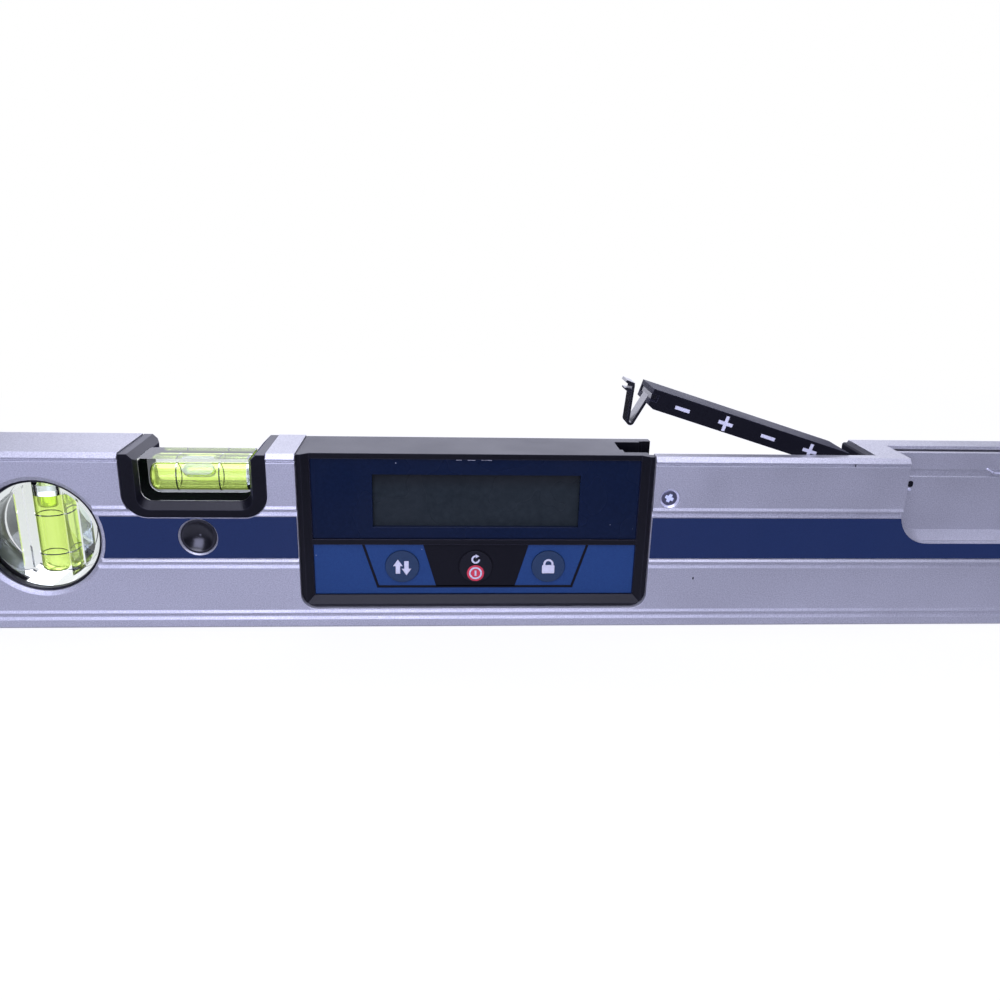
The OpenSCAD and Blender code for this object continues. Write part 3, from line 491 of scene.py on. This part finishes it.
# Fluid of both vials: a hair wider than its bore, so that no film of air shows round it
vialFluids = {
    "level_vial_fluid": dict(turned=False, bubbleRadius=2.3, bubbleLength=10.4, bubble=(0, -0.4, 1.95),
                             paintedLightSkin=(0, -2.6, 2.7)),
    "plumb_vial_fluid": dict(turned=True, bubbleRadius=3.75, bubbleDepth=4.2, bubbleDome=1.6)}
fluidShape = {"spare": 0.09, "spareDivider": 1.3, "dome": 2.0, "domeSteps": 6, "sides": 64,
              "bubbleSides": 48, "bubbleCutter": 10}
# Sizes of the pale skin over the level bubble, in millimetres; the skin is painted light
lightSkinSize = {"outer": 0.04, "inner": 0.01, "length": 20, "sides": 128}


def addFluidColumn(name, radius, length):
    # Lies along X with its middle at the origin; the domed end points to -X
    obj = addRod(radius, length, fluidShape["sides"])
    obj.name = name
    selectParts(obj, "EDGE", lambda a, b: a.x < 0 and b.x < 0)
    bpy.ops.mesh.bevel(offset=fluidShape["dome"] * mm, segments=fluidShape["domeSteps"])
    leaveEdit()
    return obj


def addBubble(fluid, place):
    # A sphere drawn out along X; place in millimetres
    sides = fluidShape["bubbleSides"]
    deselectAll()
    bpy.ops.mesh.primitive_uv_sphere_add(
        segments=sides, ring_count=sides // 2, radius=fluid["bubbleRadius"] * mm)
    obj = bpy.context.object
    applyPlace(obj)
    reach = fluid["bubbleLength"] / 2 - fluid["bubbleRadius"]
    for side in (-1, 1):
        selectParts(obj, "VERT", lambda co: co.z * side > tiny)
        bpy.ops.transform.translate(value=(0, 0, side * reach * mm))
        leaveEdit()
    obj.matrix_world = Matrix.Rotation(math.pi / 2, 4, "Y")
    applyPlace(obj)
    obj.matrix_world = Matrix.Translation([v * mm for v in place])
    applyPlace(obj)
    return obj


def addBubbleLightSkin(fluid, middle, radius):
    # Pale skin over the bubble, just outside the fluid's own surface: painted light that stands in for the
    # brightness the bubble's surface reflects
    paintedLightSkin = addBubble(fluid, fluid["paintedLightSkin"])
    for spare, operation in ((lightSkinSize["outer"], "INTERSECT"), (lightSkinSize["inner"], "DIFFERENCE")):
        cutWith(paintedLightSkin, addRod(radius + spare, lightSkinSize["length"], lightSkinSize["sides"]), operation)
    paintedLightSkin.name = "bubblePaintedLight"
    paintedLightSkin.matrix_world = Matrix.Translation(middle)
    applyPlace(paintedLightSkin)
    fileAway(paintedLightSkin, "rail", finish["bubblePaintedLight"])


def addTopBubble(fluid, length):
    # Round room for the air at the upright column's upper end, still lying along X
    foot = length / 2 - fluid["bubbleDepth"]
    reach = fluidShape["bubbleCutter"]
    room = addRod(fluid["bubbleRadius"], reach, fluidShape["bubbleSides"], foot + reach / 2)
    selectParts(room, "EDGE", lambda a, b: max(a.x, b.x) < (foot + nearly) * mm)
    bpy.ops.mesh.bevel(offset=fluid["bubbleDome"] * mm, segments=fluidShape["domeSteps"])
    leaveEdit()
    return room


def addFluid(nodeName, name):
    fluid = vialFluids[nodeName]
    low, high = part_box(nodeName)
    middle = (low + high) / 2
    size = (high - low) / mm
    length = max(size) + fluidShape["spare"]
    radius = size.y / 2 + fluidShape["spare"] / fluidShape["spareDivider"]
    column = addFluidColumn(name, radius, length)
    if fluid["turned"]:
        cutWith(column, addTopBubble(fluid, length))
        column.matrix_world = Matrix.Rotation(-math.pi / 2, 4, "Y")
        applyPlace(column)
    else:
        cutWith(column, addBubble(fluid, fluid["bubble"]))
        addBubbleLightSkin(fluid, middle, radius)
    column.matrix_world = Matrix.Translation(middle)
    applyPlace(column)
    fileAway(column, "rail", finish["fluid"])
    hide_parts(nodeName)


addFluid("level_vial_fluid", "levelFluid")
addFluid("plumb_vial_fluid", "plumbFluid")
print("vial fluids made")

# Dark bedding round the foot of the level vial's clear block and up its left end
bedding = {"out": 0.1, "sink": 0.04, "rise": 12.9, "corner": 3.7, "cornerSteps": 10, "rim": 0.3,
           "openEnd": 2}


def addRoundFoot(name, low, high, corner):
    # A box with its lower left and lower right edges rounded
    obj = addBox(name, low, high)
    selectParts(obj, "EDGE", lambda a, b: (
        abs(a.x - b.x) < tiny and max(a.z, b.z) < (low[2] + nearly) * mm))
    bpy.ops.mesh.bevel(offset=corner * mm, segments=bedding["cornerSteps"])
    leaveEdit()
    return obj


def addBedding():
    low, high = boxInMm("level_vial_block")
    plan = bedding
    top = low.z + plan["rise"]
    bed = addRoundFoot(
        "vialBedding", (low.x - plan["out"], low.y + plan["rim"], low.z - plan["out"]),
        (high.x + plan["out"], high.y - plan["rim"], top), plan["corner"] + plan["out"])
    inside = addRoundFoot(
        "inside", (low.x + plan["sink"], low.y - past, low.z + plan["sink"]),
        (high.x - plan["sink"], high.y + past, top + past), plan["corner"] - plan["sink"])
    cutWith(bed, inside)
    cutWith(bed, addBox("openEnd", (high.x - plan["openEnd"], low.y - past, low.z + plan["corner"]),
                        (high.x + past, high.y + past, top + past)))
    fileAway(bed, "rail", finish["inkBlack"])


addBedding()
print("vial bedding made")

# Screw with a cross recess, set deep in a bright seat, in place of the frame's screw
screwHead = {"seatRadius": 3.22, "seatFoot": 2.5, "deep": 0.75, "radius": 2.55, "thick": 1.0, "rim": 0.12,
             "rimSteps": 3, "coneTrim": 0.05, "coneLift": 0.02, "backGap": 0.01,
             "armLength": 4.4, "armWidth": 2.0, "armTaper": (0.6, 1, 0.5), "recess": 0.18, "turn": -24,
             "floorPart": 3, "floorSink": 0.05, "floorTrim": 0.1, "shankRadius": 1.45, "shankSides": 24}


def addCross(name, centre, front, back, trim):
    # Two tapering arms between a front and a back depth
    plan = screwHead
    middle = [c * mm for c in centre]
    arms = []
    for turn in (plan["turn"], plan["turn"] + 90):
        length, width = plan["armLength"] / 2 - trim, plan["armWidth"] / 2 - trim
        arm = addBox(name, (centre.x - length, centre.y + front, centre.z - width),
                     (centre.x + length, centre.y + back, centre.z + width))
        selectParts(arm, "FACE", lambda place, normal: normal.y > facing)
        bpy.ops.transform.resize(value=plan["armTaper"], center_override=middle)
        leaveEdit()
        turnFlat(arm, math.radians(turn), middle)
        arms.append(arm)
    return arms


def addSeat(centre):
    # Bright cone round the sunk head
    plan = screwHead
    seat = addDisc("screwSeat", (centre.x, centre.y + plan["thick"] / 2, centre.z),
                   plan["seatRadius"], plan["thick"])
    cone = addDisc("cone", (centre.x, centre.y + plan["deep"] / 2, centre.z),
                   plan["seatRadius"] - plan["coneTrim"], plan["deep"])
    selectParts(cone, "FACE", lambda place, normal: normal.y > facing)
    narrow = plan["seatFoot"] / plan["seatRadius"]
    bpy.ops.transform.resize(value=(narrow, 1, narrow), center_override=[c * mm for c in centre])
    leaveEdit()
    selectParts(cone, "FACE", lambda place, normal: normal.y < -facing)
    bpy.ops.transform.translate(value=(0, -plan["coneLift"] * mm, 0))
    leaveEdit()
    cutWith(seat, cone)
    fileAway(seat, "rail", finish["steel"])


def addScrew():
    plan = screwHead
    low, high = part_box("side_screw")
    centre = Vector(((low.x + high.x) / 2, low.y, (low.z + high.z) / 2)) / mm
    addSeat(centre)
    face = centre + Vector((0, plan["deep"] - plan["recess"], 0))
    thick = plan["thick"] - plan["deep"] + plan["recess"] - plan["backGap"]
    head = addDisc("screwHead", (face.x, face.y + thick / 2, face.z), plan["radius"], thick)
    selectParts(head, "EDGE", lambda a, b: max(a.y, b.y) < (face.y + nearly) * mm)
    bpy.ops.mesh.bevel(offset=plan["rim"] * mm, segments=plan["rimSteps"])
    leaveEdit()
    for arm in addCross("arm", face, -past, plan["recess"], 0):
        cutWith(head, arm)
    # The cross's floor is a separate bright bluish piece: a painted highlight on the facets of the recess
    floor = addCross("crossFloorHighlight", face, plan["recess"] / plan["floorPart"],
                     plan["recess"] + plan["floorSink"], plan["floorTrim"])
    cutWith(floor[0], floor[1], "UNION")
    fileAway(floor[0], "rail", finish["crossPaintedHighlight"])
    shankFront, shankBack = centre.y + plan["thick"], high.y / mm
    shank = addDisc("shank", (centre.x, (shankFront + shankBack) / 2 - plan["backGap"], centre.z),
                    plan["shankRadius"], shankBack - shankFront, plan["shankSides"])
    screw = joinAll("crossScrew", [head, shank])
    fileAway(screw, "rail", finish["screwFace"])
    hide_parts("side_screw")


addScrew()
print("screw made")

# Small marks: wear, a painted shade in a hole of the grip tray and a painted glint beside it. Corners in
# millimetres, the finish each one shows and its turn in degrees
wearAndPaintedLightMarks = {
    # Dark patch: the painted shade inside a hole of the tray
    "holeShadowInTray": dict(low=(43.6, -4.35, 46.9), high=(45.4, -4.1, 49.0), look="printAndShadeBlack"),
    # Bright steel fleck: a painted glint beside that hole
    "glintInTray": dict(low=(43.9, -4.6, 45.6), high=(44.9, -4.1, 46.5), look="steel"),
    "spotOnPanel": dict(low=(-29.8, -13.14, 16.9), high=(-29.3, -13.05, 17.8), look="printAndShadeBlack"),
    "hairOnGroove": dict(low=(20.0, -13.5, 56.3), high=(20.1, -12.9, 57.2), look="blackPlastic"),
    "burrOnGroove": dict(low=(70.0, -4.7, 52.5), high=(73.0, -4.1, 53.1), look="steel", turn=28),
    "burrEnd": dict(low=(72.3, -4.7, 51.7), high=(75.2, -4.1, 52.3), look="steel")}
# Corner radius of a mark as a share of its width, and the steps of that corner
markCorner = {"share": 0.4, "steps": 4}
# Pale dashes at the upper edge of the display's panel: spans along X and sizes in millimetres
panelDashes = {"spans": ((-108.8, -107.0), (-105.1, -102.6), (-100.7, -97.3)), "down": 0.12,
              "height": 0.16, "lift": 0.04}


def addWearAndPaintedLight():
    for name, mark in wearAndPaintedLightMarks.items():
        obj = addBox(name, mark["low"], mark["high"])
        width = min(mark["high"][0] - mark["low"][0], mark["high"][2] - mark["low"][2])
        selectParts(obj, "EDGE", runsDeep)
        bpy.ops.mesh.bevel(offset=width * markCorner["share"] * mm, segments=markCorner["steps"])
        leaveEdit()
        centre = [(a + b) / 2 * mm for a, b in zip(mark["low"], mark["high"])]
        turnFlat(obj, math.radians(-mark.get("turn", 0)), centre)
        fileAway(obj, "rail", finish[mark["look"]])


def addPanelDashes():
    plan = panelDashes
    low, high = boxInMm("front_panel")
    front, back = low.y - plan["lift"], low.y + plan["lift"]
    top = high.z - plan["down"]
    dashes = [addBox("dash", (start, front, top - plan["height"]), (end, back, top))
             for start, end in plan["spans"]]
    dashRow = joinAll("panelDashes", dashes)
    softenEdges(dashRow)
    fileAway(dashRow, "rail", finish["printWhite"])


addWearAndPaintedLight()
addPanelDashes()
print("wear marks made")

# Keypad print: a thin outline and a solid field behind the middle key
keypadPrint = {
    "lift": 0.05, "line": 0.85, "top": 27.65, "outlineFoot": 12.3, "outlineTopHalf": 37.3,
    "outlineFootHalf": 32.6, "openTop": 2, "fieldFoot": 12.8, "fieldTopHalf": 17.4, "fieldFootHalf": 13.1,
    "keyHole": 5.55}
padLow, padHigh = boxInMm("keypad_cover")
padFront = padLow.y
displayX = (padLow.x + padHigh.x) / 2


def addTrapezoid(name, topHalf, footHalf, top, foot, front, back):
    obj = addBox(name, (displayX - topHalf, front, foot), (displayX + topHalf, back, top))
    middle = (foot + top) / 2 * mm
    selectParts(obj, "VERT", lambda co: co.z < middle)
    bpy.ops.transform.resize(
        value=(footHalf / topHalf, 1, 1), center_override=(displayX * mm, 0, foot * mm))
    leaveEdit()
    return obj


def addKeypadPrint():
    plan = keypadPrint
    front, back = padFront - plan["lift"], padFront + plan["lift"]
    topHalf, footHalf = plan["outlineTopHalf"], plan["outlineFootHalf"]
    top, foot, line = plan["top"], plan["outlineFoot"], plan["line"]
    slope = (topHalf - footHalf) / (top - foot)
    side = line * math.hypot(1, slope)
    outline = addTrapezoid("keypadOutline", topHalf, footHalf, top, foot, front, back)
    inside = addTrapezoid(
        "inside", topHalf + plan["openTop"] * slope - side, footHalf + line * slope - side,
        top + plan["openTop"], foot + line, front - past, back + past)
    cutWith(outline, inside)
    field = addTrapezoid(
        "keypadField", plan["fieldTopHalf"], plan["fieldFootHalf"], top, plan["fieldFoot"], front, back)
    for obj in (outline, field):
        for keyName in ("unit_key", "power_key", "hold_key"):
            low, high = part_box(keyName)
            centre = [(low.x + high.x) / 2 / mm, padFront, (low.z + high.z) / 2 / mm]
            cutWith(obj, addDisc("keyHole", centre, plan["keyHole"], 2 * past))
        fileAway(obj, "rail", finish["printAndShadeBlack"])


addKeypadPrint()
print("keypad print made")

# Signs on the keys, raised by the thickness of the print
keySigns = {
    "lift": 0.06, "arrowWidth": 3.2, "arrowHead": 2.3, "arrowStem": 1.5, "arrowLength": 5.0,
    "arrowApart": 2.8, "arrowDrop": 0.25, "arrowTip": 0.02, "discRadius": 2.85, "ringOuter": 2.15,
    "ringInner": 1.6, "barWidth": 0.65, "barLength": 1.9, "powerDrop": 2.3, "turnRadius": 1.15,
    "turnLine": 0.62, "turnRise": 2.55, "turnHead": 1.35, "turnAside": 0.35, "lockWidth": 4.2,
    "lockHeight": 3.0, "lockDrop": 0.9, "lockCorner": 0.4, "lockCornerSteps": 3, "lockRadius": 1.35,
    "lockLine": 0.7, "shackleRise": 0.4, "shackleFoot": 0.1}


def keyFace(keyName):
    low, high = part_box(keyName)
    return Vector(((low.x + high.x) / 2, low.y, (low.z + high.z) / 2)) / mm


def addArrow(centre, up):
    plan = keySigns
    front, back = centre.y - plan["lift"], centre.y + plan["lift"]
    tip = centre.z + up * plan["arrowLength"] / 2
    neck = tip - up * plan["arrowHead"]
    foot = centre.z - up * plan["arrowLength"] / 2
    stem = addBox("stem", (centre.x - plan["arrowStem"] / 2, front, min(neck, foot)),
                  (centre.x + plan["arrowStem"] / 2, back, max(neck, foot)))
    head = addBox("head", (centre.x - plan["arrowWidth"] / 2, front, min(neck, tip)),
                  (centre.x + plan["arrowWidth"] / 2, back, max(neck, tip)))
    selectParts(head, "VERT", lambda co: abs(co.z / mm - tip) < nearly)
    bpy.ops.transform.resize(value=(plan["arrowTip"], 1, 1), center_override=(centre.x * mm, 0, tip * mm))
    leaveEdit()
    return [stem, head]


def addRing(name, centre, outer, inner, depth):
    ring = addDisc(name, centre, outer, depth)
    cutWith(ring, addDisc("hole", centre, inner, depth * 4))
    return ring


def addUnitSign():
    plan = keySigns
    face = keyFace("unit_key")
    parts = []
    for side in (-1, 1):
        drop = (side + 1) * plan["arrowDrop"]
        parts += addArrow(face + Vector((side * plan["arrowApart"] / 2, 0, -drop)), -side)
    fileAway(joinAll("unitSign", parts), "unit_key_cap", finish["printWhite"])


def addPowerSign():
    plan = keySigns
    face = keyFace("power_key")
    low = face - Vector((0, 0, plan["powerDrop"]))
    disc = addDisc("powerDisc", low, plan["discRadius"], plan["lift"] * 2)
    softenEdges(disc)
    fileAway(disc, "power_key_cap", finish["printRed"])
    raised = low - Vector((0, plan["lift"], 0))
    ring = addRing("ring", raised, plan["ringOuter"], plan["ringInner"], plan["lift"] * 2)
    front, back = raised.y - plan["lift"], raised.y + plan["lift"]
    bar = addBox("bar", (low.x - plan["barWidth"] / 2, front, low.z - plan["barLength"] / 2),
                 (low.x + plan["barWidth"] / 2, back, low.z + plan["barLength"] / 2))
    softenEdges(bar)
    fileAway(joinAll("powerMark", [ring, bar]), "power_key_cap", finish["printWhite"])
    addTurnSign(face + Vector((0, 0, plan["turnRise"])))


def addTurnSign(centre):
    # A round arrow for setting back to zero
    plan = keySigns
    outer = plan["turnRadius"] + plan["turnLine"] / 2
    inner = plan["turnRadius"] - plan["turnLine"] / 2
    ring = addRing("turn", centre, outer, inner, plan["lift"] * 2)
    gap = addBox("gap", (centre.x, centre.y - past, centre.z),
                 (centre.x + 2 * past, centre.y + past, centre.z + 2 * past))
    cutWith(ring, gap)
    place = ((centre.x + plan["turnAside"]) * mm, centre.y * mm, (centre.z + plan["turnRadius"]) * mm)
    deselectAll()
    bpy.ops.mesh.primitive_cylinder_add(
        vertices=3, radius=plan["turnLine"] * plan["turnHead"] * mm, depth=plan["lift"] * 2 * mm,
        location=place, rotation=(math.pi / 2, 0, 0))
    head = bpy.context.object
    applyPlace(head)
    turnFlat(head, -math.pi / 2, place)
    fileAway(joinAll("turnSign", [ring, head]), "power_key_cap", finish["printWhite"])


def addHoldSign():
    # A closed padlock
    plan = keySigns
    face = keyFace("hold_key")
    foot = face.z - plan["lockHeight"] / 2 - plan["lockDrop"]
    top = foot + plan["lockHeight"]
    front, back = face.y - plan["lift"], face.y + plan["lift"]
    body = addBox("lock", (face.x - plan["lockWidth"] / 2, front, foot),
                  (face.x + plan["lockWidth"] / 2, back, top))
    selectParts(body, "EDGE", runsDeep)
    bpy.ops.mesh.bevel(offset=plan["lockCorner"] * mm, segments=plan["lockCornerSteps"])
    leaveEdit()
    centre = Vector((face.x, face.y, top + plan["shackleRise"]))
    shackle = addRing("shackle", centre, plan["lockRadius"] + plan["lockLine"] / 2,
                      plan["lockRadius"] - plan["lockLine"] / 2, plan["lift"] * 2)
    selectParts(shackle, "VERT", lambda co: co.z / mm < centre.z - nearly)
    bpy.ops.transform.resize(
        value=(1, 1, 0), center_override=(0, 0, (top - plan["shackleFoot"]) * mm))
    leaveEdit()
    fileAway(joinAll("holdSign", [body, shackle]), "hold_key_cap", finish["printWhite"])


addUnitSign()
addPowerSign()
addHoldSign()
print("key signs made")

# Polarity marks on the front of the lid, made in the lid's own frame and then turned with it
lidMarks = {"cells": 4, "firstCell": 11.1, "pitch": 15.1, "drop": 3.45, "length": 5.0, "stroke": 1.15,
            "lift": 0.05, "angle": 17.2, "pinFromEnd": 73.3, "pinDepth": 5.0}


def addLidMarks():
    plan = lidMarks
    pinLow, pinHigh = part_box("hinge_pin")
    pin = (pinLow + pinHigh) / 2
    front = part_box("battery_lid")[0].y / mm
    parts = []
    half = plan["stroke"] / 2
    for i in range(plan["cells"]):
        place = plan["firstCell"] + i * plan["pitch"]
        mark = addBox("mark", (place - half, front - plan["lift"], -plan["drop"] - half),
                      (place + half, front + plan["lift"], -plan["drop"] + half))
        arms = [(-1, 0), (1, 0)] + ([(0, -1), (0, 1)] if i % 2 else [])
        for sideX, sideZ in arms:
            selectParts(mark, "FACE", lambda centre, normal: (
                normal.x * sideX + normal.z * sideZ > facing
                and abs(centre.x / mm - place) < plan["stroke"]
                and abs(centre.z / mm + plan["drop"]) < plan["stroke"]))
            reach = (plan["length"] - plan["stroke"]) / 2 * mm
            bpy.ops.mesh.extrude_region_move(
                TRANSFORM_OT_translate={"value": (sideX * reach, 0, sideZ * reach)})
            leaveEdit()
        parts.append(mark)
    marks = joinAll("polarityMarks", parts)
    softenEdges(marks)
    back = Matrix.Translation((-plan["pinFromEnd"] * mm, 0, plan["pinDepth"] * mm))
    turn = Matrix.Rotation(math.radians(plan["angle"]), 4, "Y")
    marks.matrix_world = Matrix.Translation((pin.x, 0, pin.z)) @ turn @ back
    applyPlace(marks)
    fileAway(marks, "lid", finish["printWhite"])


addLidMarks()
print("lid marks made")

# Camera as the photograph was taken: turned right, tipped down and rolled a little
cameraSet = {"place": (-0.1121, -0.2762, 0.13165), "yaw": 0.0660, "pitch": 0.3192, "roll": 0.0254,
             "focalPixels": 870.3, "imagePixels": 1000.0, "sensor": 36.0}


def addCamera():
    view = cameraSet
    yaw, pitch = view["yaw"], view["pitch"]
    forward = Vector((math.sin(yaw) * math.cos(pitch), math.cos(yaw) * math.cos(pitch), -math.sin(pitch)))
    right = forward.cross(Vector((0, 0, 1))).normalized()
    up = right.cross(forward)
    turn = math.cos(view["roll"])
    lean = math.sin(view["roll"])
    rolledRight = right * turn + up * lean
    rolledUp = up * turn - right * lean
    camera = bpy.data.cameras.new("photoCamera")
    camera.sensor_width = view["sensor"]
    camera.lens = view["focalPixels"] * view["sensor"] / view["imagePixels"]
    obj = bpy.data.objects.new("photoCamera", camera)
    bpy.context.scene.collection.objects.link(obj)
    axes = Matrix((rolledRight, rolledUp, -forward)).transposed().to_4x4()
    obj.matrix_world = Matrix.Translation(view["place"]) @ axes
    bpy.context.scene.camera = obj


addCamera()

# Soft studio: wide lamps behind, overhead and in front. The surround is white where it is seen directly
# or through glass, dim in reflections and an even light for the rest. The floor shows some of its own
# shading near the part; in reflections it shows a painted glow, brightest near the part.
lamps = {
    "behind": dict(place=(-0.05, 1.1, 0.62), target=(-0.1, 0, 0), size=1.6,
                   watts=12.0, tint=(0.84, 0.85, 1.0)),
    "overhead": dict(place=(-0.12, -0.19, 0.95), target=(-0.1, 0, 0), size=0.9,
                     watts=10.0, tint=(0.77, 0.78, 1.0)),
    "front": dict(place=(-0.3, -1.0, 0.45), target=(-0.08, 0, 0.03), size=0.9,
                  watts=9.4, tint=(0.66, 0.675, 1.0))}
lampTint = (0.71, 0.72, 1.0)
surround = {"ambient": 0.4, "mirror": 0.04, "floorReflectionGlow": (0.46, 0.04), "white": 1.0}
floorLook = {"size": 60, "colour": (0.9, 0.9, 0.92), "roughness": 0.9}
floorGlow = {"near": 0.3, "far": 0.55, "nearShare": 0.8, "reflectionGlowNear": 0.03, "reflectionGlowFar": 0.18}


def addLamps():
    for name, lamp in lamps.items():
        light = bpy.data.lights.new(name, "AREA")
        light.size = lamp["size"]
        light.energy = lamp["watts"]
        light.color = lamp["tint"]
        obj = bpy.data.objects.new(name, light)
        bpy.context.scene.collection.objects.link(obj)
        obj.visible_camera = False
        obj.location = lamp["place"]
        aim = Vector(lamp["target"]) - Vector(lamp["place"])
        obj.rotation_euler = aim.to_track_quat("-Z", "Y").to_euler()


def seenDirectly(tree):
    # Two masks: rays that show the surround itself, straight or through glass, and reflected rays
    path = addNode(tree, "ShaderNodeLightPath")
    through = addMath(tree, "MINIMUM", path.outputs["Transmission Depth"], 1.0)
    clear = addMath(tree, "SUBTRACT", through, path.outputs["Is Diffuse Ray"])
    return addMath(tree, "MAXIMUM", path.outputs["Is Camera Ray"], clear), path.outputs["Is Glossy Ray"]


def mixShaders(tree, mask, first, second):
    mix = addNode(tree, "ShaderNodeMixShader")
    tree.links.new(mask, mix.inputs[0])
    tree.links.new(first.outputs[0], mix.inputs[1])
    tree.links.new(second.outputs[0], mix.inputs[2])
    return mix


def addGlow(tree, kind, tint, strength):
    glow = addNode(tree, kind)
    glow.inputs["Color"].default_value = (*tint, 1)
    glow.inputs["Strength"].default_value = strength
    return glow


def addSurround():
    world = bpy.data.worlds.new("studio")
    bpy.context.scene.world = world
    world.use_nodes = True
    tree = world.node_tree
    ambient = addGlow(tree, "ShaderNodeBackground", lampTint, surround["ambient"])
    mirror = addGlow(tree, "ShaderNodeBackground", lampTint, surround["mirror"])
    white = addGlow(tree, "ShaderNodeBackground", (1, 1, 1), surround["white"])
    seen, glossy = seenDirectly(tree)
    light = mixShaders(tree, glossy, ambient, mirror)
    light = mixShaders(tree, seen, light, white)
    tree.links.new(light.outputs[0], tree.nodes["World Output"].inputs["Surface"])


def addFloor():
    deselectAll()
    bpy.ops.mesh.primitive_plane_add(size=floorLook["size"])
    floor = bpy.context.object
    floor.name = "floor"
    material, tree, shader = newMaterial("paleFloor")
    shader.inputs["Base Color"].default_value = (*floorLook["colour"], 1)
    shader.inputs["Roughness"].default_value = floorLook["roughness"]
    shader.inputs["Specular IOR Level"].default_value = 0.0
    white = addGlow(tree, "ShaderNodeEmission", (1, 1, 1), surround["white"])
    # Painted reflection: glossy rays see the floor as a lamp-tinted glow, strongest near the part, not as
    # its lit surface
    mirror = addGlow(tree, "ShaderNodeEmission", lampTint, 1.0)
    place = addNode(tree, "ShaderNodeTexCoord")
    apart = addNode(tree, "ShaderNodeSeparateXYZ")
    tree.links.new(place.outputs["Object"], apart.inputs[0])
    across = addMath(tree, "ABSOLUTE", apart.outputs["Y"], 0.0)
    fading = rampMask(
        tree, across, floorGlow["reflectionGlowNear"], floorGlow["reflectionGlowFar"], *surround["floorReflectionGlow"])
    tree.links.new(fading, mirror.inputs["Strength"])
    away = addNode(tree, "ShaderNodeVectorMath", operation="LENGTH")
    tree.links.new(place.outputs["Object"], away.inputs[0])
    share = rampMask(
        tree, away.outputs["Value"], floorGlow["near"], floorGlow["far"], floorGlow["nearShare"], 1.0)
    seen, glossy = seenDirectly(tree)
    light = mixShaders(tree, glossy, shader, mirror)
    light = mixShaders(tree, addMath(tree, "MULTIPLY", seen, share), light, white)
    tree.links.new(light.outputs[0], tree.nodes["Material Output"].inputs["Surface"])
    floor.data.materials.append(material)


addLamps()
addSurround()
addFloor()
bpy.context.scene.view_settings.view_transform = "Standard"
print("camera, lamps and floor placed")
